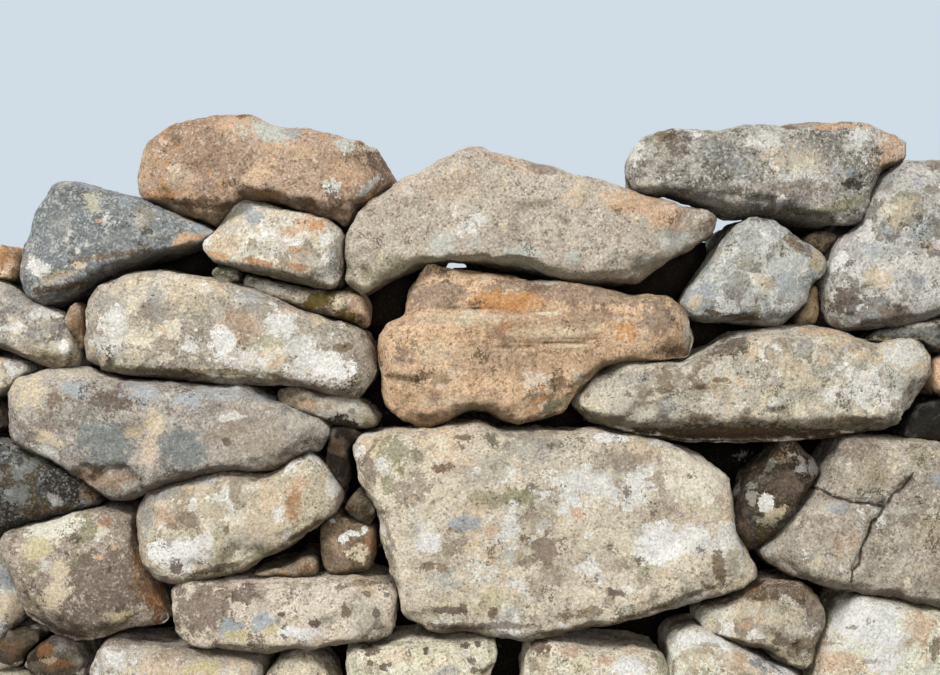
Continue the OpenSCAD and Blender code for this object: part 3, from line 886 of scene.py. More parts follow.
    def _patches(
        self,
        sheet: Sheet,
        colour: object,
        laid: dict[str, object],
        growth: Growth,
        groups: ShaderGroups,
    ) -> object:
        """Lays the patches of one growth over a colour.

        Args:
            sheet: The material's sheet.
            colour: The colour under them.
            laid: The place on the wall as it is seen, and the noises of their edges.
            growth: Which patches to lay.
            groups: The shared effects.

        Returns:
            The colour with the patches.
        """
        for patch in self.patches:
            if patch.growth is not growth:
                continue
            mask = sheet.group(
                groups.patch,
                Centre=(patch.at[0] * MM, PATCH_DEPTH, patch.at[1] * MM),
                Radius=(patch.size[0] * MM, PATCH_REACH, patch.size[1] * MM),
                Turn=(0.0, math.radians(-patch.turn), 0.0),
                Ragged=patch.ragged * PATCH_RAGGEDNESS,
                Softness=PATCH_SOFTNESS[growth],
                Cover=min(FULL_COVER, patch.cover * COVER_GAIN),
                **laid,
            )["Mask"]
            colour = sheet.blend(mask, colour, linear(patch.tint))
        return colour


CREAM_GRANITE = Granite((208, 196, 177), (184, 171, 152))
GREY_GRANITE = Granite(
    (176, 172, 163), (150, 145, 136), thalli=GREY_CRUSTS, crust_tint=(206, 206, 200),
    dark_grain=(92, 86, 74), pale_grain=(226, 222, 212),
)
BROWN_GRANITE = Granite(
    (196, 166, 142), (176, 146, 122), thalli=BROWN_CRUSTS, crust_tint=(214, 200, 178),
    dark_grain=(104, 82, 62), pale_grain=(232, 212, 188), pale_crust=0.1,
)
DARK_GRANITE = Granite(
    (100, 88, 70), (72, 62, 48), thalli=DARK_CRUSTS, crust_tint=(150, 142, 124),
    dark_grain=(38, 32, 24), pale_grain=(160, 146, 122), pale_crust=0.08,
    dark_tint=(40, 34, 26), damp=(40, 34, 24),
)


# ---------------------------------------------------------------- shapes on the face


@dataclass(frozen=True)
class Crack:
    """A crack or a bedding line along a path on the front face."""

    path: tuple[Place, ...]
    width: float = 7.0
    depth: float = 9.0

    def sink(self, x: np.ndarray, z: np.ndarray) -> np.ndarray:
        """Gives how far the face is sunk, in mm, at places in mm."""
        near = np.full(x.shape, 1e9)
        for (ax, az), (bx, bz) in zip(self.path, self.path[1:]):
            run = np.array([bx - ax, bz - az])
            along = ((x - ax) * run[0] + (z - az) * run[1]) / float(run @ run)
            along = np.clip(along, 0.0, 1.0)
            gap = np.hypot(x - ax - along * run[0], z - az - along * run[1])
            near = np.minimum(near, gap)
        return self.depth * np.exp(-((near / self.width) ** 2))


@dataclass(frozen=True)
class Ledge:
    """A step in the face: what lies beyond a line is set back."""

    start: Place
    end: Place
    step: float
    edge: float = 5.0
    fade: float = 120.0

    def sink(self, x: np.ndarray, z: np.ndarray) -> np.ndarray:
        """Gives how far the face is sunk, in mm, at places in mm."""
        run = np.array([self.end[0] - self.start[0], self.end[1] - self.start[1]])
        length = float(np.hypot(*run))
        along = ((x - self.start[0]) * run[0] + (z - self.start[1]) * run[1]) / length
        side = ((z - self.start[1]) * run[0] - (x - self.start[0]) * run[1]) / length
        ends = np.clip(1.0 - np.maximum(-along, along - length) / 40.0, 0.0, 1.0)
        beyond = 1.0 / (1.0 + np.exp(-np.clip(side / self.edge, -30, 30)))
        return self.step * ends * beyond * np.exp(-np.clip(side, 0, None) / self.fade)


@dataclass(frozen=True)
class Dent:
    """A hollow in the face, or a swelling where its depth is negative."""

    at: Place
    size: Place
    depth: float
    turn: float = 0.0

    def sink(self, x: np.ndarray, z: np.ndarray) -> np.ndarray:
        """Gives how far the face is sunk, in mm, at places in mm."""
        cos, sin = math.cos(math.radians(self.turn)), math.sin(math.radians(self.turn))
        across = (x - self.at[0]) * cos + (z - self.at[1]) * sin
        up = (z - self.at[1]) * cos - (x - self.at[0]) * sin
        far = (across / self.size[0]) ** 2 + (up / self.size[1]) ** 2
        return self.depth * np.exp(-far)


@dataclass(frozen=True)
class Facet:
    """A flat that leans back from a line, where the face was split off."""

    at: Place
    towards: Place
    slope: float
    edge: float = 8.0

    def sink(self, x: np.ndarray, z: np.ndarray) -> np.ndarray:
        """Gives how far the face is sunk, in mm, at places in mm."""
        way = np.array(self.towards) / math.hypot(*self.towards)
        out = (x - self.at[0]) * way[0] + (z - self.at[1]) * way[1]
        soft = self.edge * np.logaddexp(0.0, out / self.edge)
        return self.slope * soft


Feature = Crack | Ledge | Dent | Facet


@dataclass(frozen=True)
class Sight:
    """A line, as it is seen, that the depth of a stone keeps above or below.

    Daylight shows through a joint along it, or the stone fills the joint up to it.
    """

    start: Place
    end: Place
    above: bool = True
    reach: float = 1000.0
    fade: float = 12.0
    behind: float = -0.125

    def moves(self, points: np.ndarray) -> np.ndarray:
        """Gives how points move.

        Args:
            points: Points in metres, one row each.

        Returns:
            One move in metres for each point.
        """
        seen = seen_places(points) / MM
        length = self.end[0] - self.start[0]
        share = (seen[:, 0] - self.start[0]) / length
        beyond = np.maximum(-share, share - 1.0) * length
        within = np.clip(1.0 - beyond / self.fade, 0.0, 1.0)
        within *= np.clip((points[:, 1] - self.behind) / 0.02 + 0.5, 0.0, 1.0)
        line = self.start[1] + np.clip(share, 0.0, 1.0) * (self.end[1] - self.start[1])
        short = line - seen[:, 2]
        short = np.clip(short, 0.0, None) if self.above else np.clip(short, None, 0.0)
        short *= np.clip(1.0 - np.abs(short) / self.reach, 0.0, 1.0)
        return spread(points, short * within, (0.0, 0.0, 1.0))


@dataclass(frozen=True)
class Sag:
    """A stretch of a stone, as it is seen, whose underside hangs lower."""

    start: float
    end: float
    level: float
    drop: float
    fade: float = 40.0

    def moves(self, points: np.ndarray) -> np.ndarray:
        """Gives how points move.

        Args:
            points: Points in metres, one row each.

        Returns:
            One move in metres for each point.
        """
        seen = seen_places(points) / MM
        beyond = np.maximum(self.start - seen[:, 0], seen[:, 0] - self.end)
        within = np.clip(1.0 - beyond / self.fade, 0.0, 1.0)
        under = np.clip((self.level - seen[:, 2]) / (4.0 * self.drop), 0.0, 1.0)
        return spread(points, -self.drop * within * under, (0.0, 0.0, 1.0))


@dataclass(frozen=True)
class Flank:
    """A place, as it is seen, that a stone's right side hardly passes."""

    right: float
    kept: float = 0.12

    def moves(self, points: np.ndarray) -> np.ndarray:
        """Gives how points move.

        Args:
            points: Points in metres, one row each.

        Returns:
            One move in metres for each point.
        """
        past = np.clip(seen_places(points)[:, 0] / MM - self.right, 0.0, None)
        return spread(points, (self.kept - 1.0) * past, (1.0, 0.0, 0.0))


Setting = Sight | Sag | Flank


def spread(
    points: np.ndarray, amounts: np.ndarray, way: tuple[float, float, float]
) -> np.ndarray:
    """Turns moves as they are seen into moves of the points themselves.

    Args:
        points: Points in metres, one row each.
        amounts: How far each is seen to move, in mm.
        way: The direction they move in.

    Returns:
        One move in metres for each point.
    """
    farness = (points[:, 1] - EYE[1]) / READING_DISTANCE
    return np.outer(amounts * farness * MM, way)


def fractal(points: np.ndarray, size: float, octaves: int, seed: int) -> np.ndarray:
    """Gives fractal noise at points.

    Args:
        points: Places in metres, one row each.
        size: The widest wave, in metres.
        octaves: How many finer waves it adds up.
        seed: Which noise.

    Returns:
        One value for each point, mostly from -1 to 1.
    """
    shift = Vector((seed * 3.17, seed * 1.31, seed * 7.73))
    return np.array(
        [
            noise.fractal(Vector(p) / size + shift, 0.65, 2.1, octaves)
            for p in points.tolist()
        ]
    )


def cleaved(points: np.ndarray, size: float, seed: int) -> np.ndarray:
    """Gives the height of flats that lean against each other, as stone breaks.

    Args:
        points: Places in metres, one row each.
        size: How far apart the flats are, in metres.
        seed: Which flats.

    Returns:
        One value for each point, mostly from -0.5 to 0.5.
    """
    shift = Vector((seed * 2.31, seed * 5.07, seed * 0.93))
    middle = Vector((0.5, 0.5, 0.5))
    heights = []
    for point in points.tolist():
        place = Vector(point) / size + shift
        gaps, cells = noise.voronoi(place)
        own, other = (
            (place - cell).dot(noise.cell_vector(cell * 91.7) - middle)
            for cell in cells[:2]
        )
        share = min(1.0, (gaps[1] - gaps[0]) / 0.12)
        heights.append(own * (0.5 + 0.5 * share) + other * (0.5 - 0.5 * share))
    return np.array(heights)


def chip(shell: bmesh.types.BMesh, count: int, depth: float, seed: int) -> None:
    """Strikes flats off the front arrises of a boulder.

    Args:
        shell: The boulder.
        count: How many blows it takes.
        depth: The deepest flat, in mm.
        seed: Which blows.
    """
    luck = random.Random(seed)
    for _ in range(count):
        way = Vector(
            (luck.uniform(-1, 1), -luck.uniform(0.8, 1.6), luck.uniform(-1, 1))
        ).normalized()
        reach = max(vert.co.dot(way) for vert in shell.verts)
        cut = luck.uniform(0.3, 1.0) * depth * MM
        bmesh.ops.bisect_plane(
            shell,
            geom=[*shell.verts, *shell.edges, *shell.faces],
            plane_co=way * (reach - cut),
            plane_no=way,
            clear_outer=True,
        )
        rim = [edge for edge in shell.edges if edge.is_boundary]
        bmesh.ops.holes_fill(shell, edges=rim, sides=0)


def shells_of(node: str) -> list[bmesh.types.BMesh]:
    """Copies a node's mesh, merges it and parts it into its boulders.

    Args:
        node: The node's name.

    Returns:
        One bmesh for each boulder, from left to right, and from the ground up where
        several start at the same x, so that each takes the same noise in every run.
    """
    whole = bmesh.new()
    whole.from_mesh(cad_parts[node].data)
    bmesh.ops.remove_doubles(whole, verts=whole.verts, dist=2e-5)
    left = set(whole.verts)
    parts = []
    while left:
        seen = {left.pop()}
        edge_of = list(seen)
        while edge_of:
            vert = edge_of.pop()
            for edge in vert.link_edges:
                other = edge.other_vert(vert)
                if other not in seen:
                    seen.add(other)
                    edge_of.append(other)
        left -= seen
        keep = {vert.index for vert in seen}
        low_x = round(min(vert.co.x for vert in seen), SAME_PLACE_DIGITS)
        low_z = min(vert.co.z for vert in seen)
        parts.append(((low_x, low_z), keep))
    whole.verts.index_update()
    boulders = []
    for _, keep in sorted(parts, key=lambda part: part[0]):
        part = whole.copy()
        part.verts.ensure_lookup_table()
        away = [vert for vert in part.verts if vert.index not in keep]
        bmesh.ops.delete(part, geom=away, context="VERTS")
        boulders.append(part)
    whole.free()
    return boulders


@dataclass(frozen=True)
class Wear:
    """How finely a boulder is meshed, how worn and how rough it is, in mm."""

    voxel: float = 5.6
    rounds: int = 1
    swell: float = 4.5
    swell_size: float = 190.0
    lumps: float = 3.8
    lump_size: float = 42.0
    flats: float = 19.0
    flat_size: float = 90.0
    chips: int = 14
    chip_depth: float = 9.0
    bulk: float = 1.5
    rim: float = 0.35


@dataclass(frozen=True)
class Stone:
    """One piece of the wall: what it replaces, its granite and its features."""

    node: str
    granite: Granite
    features: tuple[Feature, ...] = ()
    settings: tuple[Setting, ...] = ()
    tones: float = 0.0

    def _mesh_one(
        self, shell: bmesh.types.BMesh, wear: Wear, seed: int
    ) -> bpy.types.Mesh:
        """Meshes one boulder finely and roughens it.

        Args:
            shell: Its plain solid. It is freed.
            wear: How finely it is meshed and how worn it is.
            seed: Which noise roughens it.

        Returns:
            The boulder's mesh.
        """
        chip(shell, wear.chips, wear.chip_depth, seed)
        plain = bpy.data.meshes.new("plain")
        shell.to_mesh(plain)
        shell.free()
        blank = bpy.data.objects.new("blank", plain)
        bpy.context.scene.collection.objects.link(blank)
        remesh = blank.modifiers.new("fine", "REMESH")
        remesh.mode = "VOXEL"
        remesh.voxel_size = wear.voxel * MM
        remesh.use_smooth_shade = True
        worn = blank.modifiers.new("worn", "SMOOTH")
        worn.factor = 0.5
        worn.iterations = wear.rounds
        graph = bpy.context.evaluated_depsgraph_get()
        mesh = bpy.data.meshes.new_from_object(blank.evaluated_get(graph))
        bpy.data.objects.remove(blank)
        bpy.data.meshes.remove(plain)
        self._roughen(mesh, wear, seed)
        return mesh

    def _roughen(self, mesh: bpy.types.Mesh, wear: Wear, seed: int) -> None:
        """Moves a boulder's points by its noise and its features.

        Args:
            mesh: The boulder's mesh.
            wear: How rough it is.
            seed: Which noise.
        """
        count = len(mesh.vertices)
        flat = np.empty(count * 3)
        mesh.vertices.foreach_get("co", flat)
        points = flat.reshape(count, 3)
        flat = np.empty(count * 3)
        mesh.vertices.foreach_get("normal", flat)
        normals = flat.reshape(count, 3)
        out = wear.swell * fractal(points, wear.swell_size * MM, 2, seed)
        out += wear.flats * cleaved(points, wear.flat_size * MM, seed)
        out *= wear.rim + (1.0 - wear.rim) * np.abs(normals[:, 1])
        out += wear.lumps * fractal(points, wear.lump_size * MM, 4, seed + 50)
        out += wear.bulk
        points += normals * (out * MM)[:, None]
        if self.features:
            seen = seen_places(points)
            x, z = seen[:, 0] / MM, seen[:, 2] / MM
            faces_us = np.clip(-normals[:, 1] * 1.6, 0.0, 1.0)
            sunk = sum(feature.sink(x, z) for feature in self.features)
            points[:, 1] += sunk * faces_us * MM
        for setting in self.settings:
            points += setting.moves(points)
        low, high = np.array(CAD_BOX[0]), np.array(CAD_BOX[1])
        points[:] = np.clip(points, low + 1e-5, high - 1e-5)
        mesh.vertices.foreach_set("co", points.ravel())
        mesh.update()

    def build(
        self, groups: ShaderGroups, wear: Wear, seed: int
    ) -> bpy.types.Object:
        """Builds the piece and puts it in its node's place.

        Args:
            groups: The shared effects.
            wear: How finely its boulders are meshed and how worn they are.
            seed: Which noise its first boulder takes.

        Returns:
            The finished piece.
        """
        whole = bmesh.new()
        tone_layer = whole.verts.layers.float.new("tone")
        for step, shell in enumerate(shells_of(self.node)):
            mesh = self._mesh_one(shell, wear, seed + step)
            before = len(whole.verts)
            whole.from_mesh(mesh)
            bpy.data.meshes.remove(mesh)
            tone = self.tones * (0.5 + 0.5 * math.sin(12.9 * (seed + step)))
            whole.verts.ensure_lookup_table()
            for vert in whole.verts[before:]:
                vert[tone_layer] = tone
        for face in whole.faces:
            face.smooth = True
        mesh = bpy.data.meshes.new(f"{self.node}_worn")
        whole.to_mesh(mesh)
        whole.free()
        flat = np.empty(len(mesh.vertices) * 3)
        mesh.vertices.foreach_get("co", flat)
        places = seen_places(flat.reshape(-1, 3))
        behind = np.clip(places[:, 1] - FRONT_END, 0.0, None)
        places[:, 1] = PATCH_DEPTH + REAR_STRETCH * behind
        seen = mesh.attributes.new("seen", "FLOAT_VECTOR", "POINT")
        seen.data.foreach_set("vector", places.ravel())
        piece = bpy.data.objects.new(f"{self.node}_worn", mesh)
        bpy.context.scene.collection.objects.link(piece)
        mesh.materials.append(self.granite.dress(self.node, groups))
        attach(piece, "root")
        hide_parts(self.node)
        log.info("%s: %d faces", piece.name, len(mesh.polygons))
        return piece


# ---------------------------------------------------------------- light and camera


@dataclass(frozen=True)
class Studio:
    """A pale floor, soft light, and the camera where the wall is seen from."""

    lens: float = 51.06
    backdrop: Tint = (208, 220, 230)
    floor_tint: Tint = (214, 214, 210)
    sky_strength: float = 0.38
    key_power: float = 199.0
    fill_power: float = 48.0
    rear_power: float = 120.0
    aim: tuple[float, float, float] = (0.0, 0.0, 0.8)

    def build(self) -> None:
        """Sets the camera, the lamps, the world and the floor."""
        self._camera()
        self._lamp("key", (-1.7, -3.0, 4.1), self.aim, 1.6, self.key_power)
        self._lamp("fill", (0.6, -4.8, 1.0), self.aim, 3.0, self.fill_power)
        self._lamp("rear", (0.5, 3.6, 3.6), self.aim, 2.6, self.rear_power)
        self._world()
        self._floor()
        scene = bpy.context.scene
        scene.view_settings.view_transform = "Standard"

    def _camera(self) -> None:
        """Places the level camera in front of the wall."""
        data = bpy.data.cameras.new("camera")
        data.sensor_width = 36.0
        data.lens = self.lens
        camera = bpy.data.objects.new("camera", data)
        camera.location = EYE
        camera.rotation_euler = (math.radians(90.0), 0.0, 0.0)
        bpy.context.scene.collection.objects.link(camera)
        bpy.context.scene.camera = camera

    def _lamp(
        self,
        name: str,
        place: tuple[float, float, float],
        aim: tuple[float, float, float],
        width: float,
        power: float,
    ) -> None:
        """Hangs a square soft lamp.

        Args:
            name: The lamp's name.
            place: Where it hangs.
            aim: What it points at.
            width: Its side in metres.
            power: Its power in watts.
        """
        data = bpy.data.lights.new(name, "AREA")
        data.shape = "SQUARE"
        data.size = width
        data.energy = power
        lamp = bpy.data.objects.new(name, data)
        lamp.location = place
        way = Vector(aim) - Vector(place)
        lamp.rotation_euler = way.to_track_quat("-Z", "Y").to_euler()
        bpy.context.scene.collection.objects.link(lamp)

    def _world(self) -> None:
        """Lights the wall evenly and shows a plain pale backdrop behind it."""
        world = bpy.data.worlds.new("world")
        bpy.context.scene.world = world
        world.use_nodes = True
        sheet = Sheet(world.node_tree)
        rays = sheet.add("ShaderNodeLightPath").outputs
        seen = sheet.calc(
            "MAXIMUM",
            rays["Is Camera Ray"],
            sheet.calc("MAXIMUM", rays["Is Glossy Ray"], rays["Is Transmission Ray"]),
        )
        light = sheet.add(
            "ShaderNodeBackground",
            {"Color": (0.93, 0.97, 1.0, 1.0), "Strength": self.sky_strength},
        )
        shown = sheet.add(
            "ShaderNodeBackground", {"Color": linear(self.backdrop), "Strength": 1.0}
        )
        mixed = sheet.add(
            "ShaderNodeMixShader", {0: seen, 1: light.outputs[0], 2: shown.outputs[0]}
        )
        sheet.add("ShaderNodeOutputWorld", {"Surface": mixed.outputs[0]})

    def _floor(self) -> None:
        """Lays the plain floor that the wall stands on."""
        shape = bmesh.new()
        bmesh.ops.create_grid(shape, x_segments=1, y_segments=1, size=9.0)
        bmesh.ops.translate(shape, verts=shape.verts, vec=(0.0, 0.0, -0.0005))
        mesh = bpy.data.meshes.new("floor")
        shape.to_mesh(mesh)
        shape.free()
        material = bpy.data.materials.new("floor")
        material.use_nodes = True
        sheet = Sheet(material.node_tree)
        place = sheet.add("ShaderNodeTexCoord").outputs["Object"]
        cloud = sheet.noise(place, 1.3, 3.0, 0.5)
        tint = linear(self.floor_tint)
        paler = tuple(min(1.0, part * 1.06) for part in tint[:3]) + (1.0,)
        colour = sheet.blend(cloud, tint, paler)
        shader = sheet.add(
            "ShaderNodeBsdfPrincipled", {"Base Color": colour, "Roughness": 0.9}
        )
        sheet.add("ShaderNodeOutputMaterial", {"Surface": shader.outputs[0]})
        mesh.materials.append(material)
        floor = bpy.data.objects.new("floor", mesh)
        bpy.context.scene.collection.objects.link(floor)


# ---------------------------------------------------------------- the wall's stones


@dataclass
class Course:
    """Stones that are laid together, with their wear and the noise they start from."""

    first_seed: int
    wear: Wear = field(default_factory=Wear)

    def stones(self) -> tuple[Stone, ...]:
        """Lists the course's stones."""
        return ()

    def build(self, groups: ShaderGroups) -> list[bpy.types.Object]:
        """Builds the course's pieces in order.

        Args:
            groups: The shared effects.

        Returns:
            The finished pieces.
        """
        log.info("%s", type(self).__name__)
        return [
            stone.build(groups, self.wear, self.first_seed + 20 * step)
            for step, stone in enumerate(self.stones())
        ]


@dataclass
class CopeRow(Course):
    """The single boulders along the top of the wall."""

    first_seed: int = 100

    def stones(self) -> tuple[Stone, ...]:
        """Lists the copes and the stones under them, from left to right."""
        return (
            Stone(
                "left_end_cope", GREY_GRANITE.of((178, 170, 154), (146, 138, 122)),
                settings=(Flank(-728),),
            ),
            # Painted light: its body is brighter than its own colour, against the shade of
            # the cope above it.
            Stone("left_orange_stone", BROWN_GRANITE.of(
                (240, 206, 174), (226, 184, 150),
                stain(-730, 1080, 50, 16, ORANGE, 0.5), pale_crust=0.06,
            )),
            Stone("blue_wedge_cope", GREY_GRANITE.of(
                (148, 153, 155), (126, 131, 133),
                crust(-564, 1157, 12, 12, (220, 214, 184), 0.6),
                crust(-558, 1131, 5, 3, PEACH, 0.7),
                crust(-647, 1060, 18, 10, MILK, 0.85),
                crust(-625, 1041, 16, 5, PALE, 0.6, 1.4, 12),
                crust(-432, 1139, 22, 6, PALE, 0.75, 1.4, -22),
                stain(-428, 1102, 30, 9, PEACH, 0.85, 1, 18),
                stain(-408, 1119, 24, 6, BLUE, 0.6, 1.4, -20),
                stain(-544, 1078, 72, 5, BROWN, 0.75, 1, 8),
                stain(-617, 1050, 26, 8, SAND, 0.7, 1, 12),
                # Partly stain, partly painted shade: the dark band on the underside.
                stain(-625, 1029, 48, 6, UMBER, 0.75, 1, 10),
                stain(-668, 1070, 5, 24, PLUM, 0.6),
                crust(-485, 1115, 8, 6, BLACK, 0.6),
                crust(-609, 1187, 14, 5, SMOKE, 0.6),
                stain(-615, 1127, 18, 13, SMOKE, 0.45),
                stain(-524, 1102, 28, 14, SLATE, 0.5),
                crust(-496, 1131, 8, 10, PALE, 0.6),
                crust(-586, 1064, 8, 5, CREAM, 0.7),
                thalli_size=0.03, thalli_cover=0.3, pale_crust=0.12, dark_crust=0.2,
                damp=(60, 50, 36), damp_reach=0.45,
            ), settings=(Sag(-642, -588, 1085, 17), Sight((-628, 1000), (-594, 1001)),
            )),
            Stone("brown_saddle_cope", BROWN_GRANITE.of(
                (198, 169, 145), (174, 145, 122),
                crust(-303, 1267, 38, 17, SAGE, 0.85),
                crust(-265, 1267, 16, 9, SMOKE, 0.6),
                crust(-187, 1244, 14, 14, SAGE, 0.9),
                crust(-152, 1242, 14, 6, PALE, 0.8),
                stain(-140, 1217, 24, 25, PLUM, 0.7),
                stain(-183, 1232, 18, 8, BROWN, 0.6),
                stain(-124, 1191, 14, 20, PLUM, 0.6),
                stain(-179, 1197, 32, 18, PEACH, 0.5),
                crust(-206, 1180, 11, 13, MILK, 0.8),
                crust(-158, 1178, 21, 6, MILK, 0.8, 1.4, 35),
                stain(-199, 1162, 20, 6, BROWN, 0.7),
                stain(-466, 1267, 14, 8, ORANGE, 0.6),
                stain(-446, 1257, 14, 12, BROWN, 0.5),
                stain(-285, 1245, 36, 11, PEACH, 0.6),
                stain(-359, 1277, 36, 10, PEACH, 0.6),
                stain(-464, 1171, 28, 10, ORANGE, 0.55),
                stain(-301, 1172, 25, 7, ORANGE, 0.7),
                stain(-487, 1222, 6, 36, PEACH, 0.6),
                stain(-388, 1157, 52, 9, UMBER, 0.7, 1),
                stain(-400, 1181, 44, 10, MAUVE, 0.45),
                stain(-428, 1195, 24, 12, CREAM, 0.35),
                stain(-243, 1159, 48, 6, UMBER, 0.5),
                thalli_cover=0.35,
            )),
            Stone("tan_block_stone", CREAM_GRANITE.of(
                (238, 228, 210), (218, 207, 189),
                stain(-329, 1143, 18, 17, BLUE, 0.75),
                stain(-351, 1135, 13, 10, CREAM, 0.6),
                stain(-235, 1127, 25, 14, PEACH, 0.75),
                stain(-231, 1125, 14, 9, ORANGE, 0.6),
                stain(-275, 1115, 21, 10, PEACH, 0.65),
                stain(-271, 1090, 25, 6, ORANGE, 0.5, 1.2, -15),
                stain(-321, 1070, 26, 5, ORANGE, 0.75, 1.2, -12),
                stain(-259, 1061, 20, 5, RUST, 0.6, 1.2, -10),
                crust(-285, 1094, 21, 14, MILK, 0.5),
                stain(-269, 1045, 56, 4, OLIVE, 0.75, 1, -12),
                stain(-205, 1070, 7, 26, SMOKE, 0.6),
                stain(-376, 1078, 17, 5, ORANGE, 0.6, 1, -20),
                crust(-227, 1062, 10, 9, PALE, 0.7),
                pale_crust=0.2, dark_crust=0.06,
            )),
            Stone("peaked_cope", CREAM_GRANITE.of(
                (212, 198, 181), (195, 180, 163),
                crust(-44, 1098, 25, 16, SAGE, 0.8, 1.4),
                crust(6, 1097, 14, 8, SAGE, 0.5),
                crust(82, 1085, 31, 12, SAGE, 0.85, 1.2),
                crust(153, 1074, 10, 9, SAGE, 0.8),
                crust(307, 1104, 26, 14, SAGE, 0.7, 1.4, 25),
                crust(259, 1070, 24, 7, SLATE, 0.5, 1.4, 20),
                stain(-135, 1057, 34, 15, OLIVE, 0.4, 1.2, 22),
                stain(-184, 1047, 11, 20, OLIVE, 0.5),
                stain(62, 1218, 42, 5, PEACH, 0.5, 1, -22),
                stain(181, 1177, 50, 10, CREAM, 0.5, 1, -28),
                stain(106, 1209, 25, 8, MAUVE, 0.65, 1, -14),
                stain(267, 1153, 60, 18, PEACH, 0.75, 1, -15),
                stain(299, 1125, 37, 8, PEACH, 0.5),
                stain(360, 1129, 12, 10, BROWN, 0.65),
                stain(137, 1135, 12, 8, MAUVE, 0.4),
                stain(223, 1101, 4, 10, BROWN, 0.45),
                stain(86, 1045, 104, 5, OLIVE, 0.45, 1, -6),
                stain(-34, 1182, 64, 24, PEACH, 0.22),
                thalli_cover=0.28, pale_crust=0.05, dark_crust=0.06,
                damp=(116, 108, 86),
            ), settings=(
                Sight((-32, 1070), (-8, 1067), fade=8.0),
                Sight((280, 1167), (334, 1149), False, 60.0),
            )),
            Stone("triangular_stone", GREY_GRANITE.of(
                (230, 230, 220), (199, 199, 191),
                stain(423, 1103, 24, 16, SMOKE, 0.5),
                crust(475, 1068, 23, 20, SAGE, 0.8, 1.2),
                crust(481, 1033, 20, 20, BLUE, 0.65),
                stain(488, 1093, 15, 11, BROWN, 0.75, 1, -45),
                stain(520, 1071, 14, 16, SAND, 0.8),
                stain(507, 1085, 7, 13, PLUM, 0.6, 1, 40),
                crust(335, 1007, 11, 13, CREAM, 0.5),
                stain(393, 989, 42, 5, UMBER, 0.75, 1, -8),
                crust(444, 1036, 13, 13, CREAM, 0.45),
                crust(390, 1046, 20, 13, SAGE, 0.4), stain(452, 981, 16, 5, SAGE, 0.6),
                stain(371, 1085, 16, 10, CREAM, 0.35, 1, 40),
                dark_crust=0.12,
            )),
            Stone("tall_right_stone", GREY_GRANITE.of(
                (232, 226, 216), (199, 194, 185),
                crust(556, 1072, 14, 16, MILK, 0.9),
                stain(612, 1045, 20, 17, CREAM, 0.8, 1.1),
                crust(641, 1145, 25, 19, CREAM, 0.55),
                stain(634, 1207, 16, 6, PALE, 0.6),
                stain(559, 1013, 23, 17, PLUM, 0.75),
                stain(634, 992, 29, 11, MAUVE, 0.7),
                stain(545, 982, 13, 6, BROWN, 0.65, 1, -35),
                stain(673, 1119, 18, 19, BLUE, 0.6),
                stain(693, 1218, 12, 8, MAUVE, 0.55),
                crust(602, 1085, 20, 13, BLUE, 0.5),
                stain(693, 1091, 14, 5, PEACH, 0.5),
                stain(628, 1182, 12, 13, SMOKE, 0.5),
                crust(572, 987, 10, 8, SMOKE, 0.6),
                stain(663, 1036, 16, 20, SMOKE, 0.4),
                pale_crust=0.28, dark_crust=0.16,
            ), settings=(Sight((538, 1111), (584, 1117), False, 120.0),)),
            Stone(
                "long_grey_cope",
                GREY_GRANITE.of(
                    (188, 181, 167), (135, 129, 116),
                    stain(309, 1246, 20, 24, PLUM, 0.65),
                    stain(290, 1258, 13, 8, BROWN, 0.6),
                    stain(364, 1238, 26, 18, SLATE, 0.5),
                    crust(488, 1224, 39, 18, CREAM, 0.5),
                    stain(410, 1215, 29, 16, SMOKE, 0.4),
                    stain(556, 1273, 49, 5, PEACH, 0.85, 1),
                    crust(477, 1271, 10, 4, BROWN, 0.75),
                    crust(579, 1260, 20, 12, MILK, 0.7),
                    stain(632, 1233, 21, 29, PEACH, 0.75),
                    stain(269, 1185, 30, 7, PALE, 0.7, 1),
                    stain(377, 1162, 39, 14, PALE, 0.7, 1, -18),
                    crust(579, 1185, 16, 7, BLACK, 0.75),
                    # Partly stain, partly painted shade: the dark bands on the underside
                    # at the right end.
                    stain(556, 1153, 49, 8, OLIVE, 0.7, 1, 12),
                    stain(579, 1138, 33, 8, BLACK, 0.55, 1, 10),
                    stain(471, 1180, 68, 11, MAUVE, 0.5),
                    crust(341, 1260, 10, 4, MILK, 0.7),
                    crust(452, 1264, 23, 8, SAGE, 0.5),
                    stain(628, 1205, 13, 16, MAUVE, 0.4),
                    thalli_cover=0.45, dark_grain=(56, 51, 42), dark_amount=0.75,
                    pale_amount=0.7, pale_crust=0.28, dark_crust=0.24,
                    damp=(50, 44, 34), damp_reach=0.5,
                ),
                (Crack(((240, 1192), (275, 1203), (330, 1198)), 6.0, 5.0),),
                (
                    Sight((283, 1174), (408, 1134)),
                    Sight((538, 1125), (588, 1126), behind=-0.17),
                ),
            ),
        )


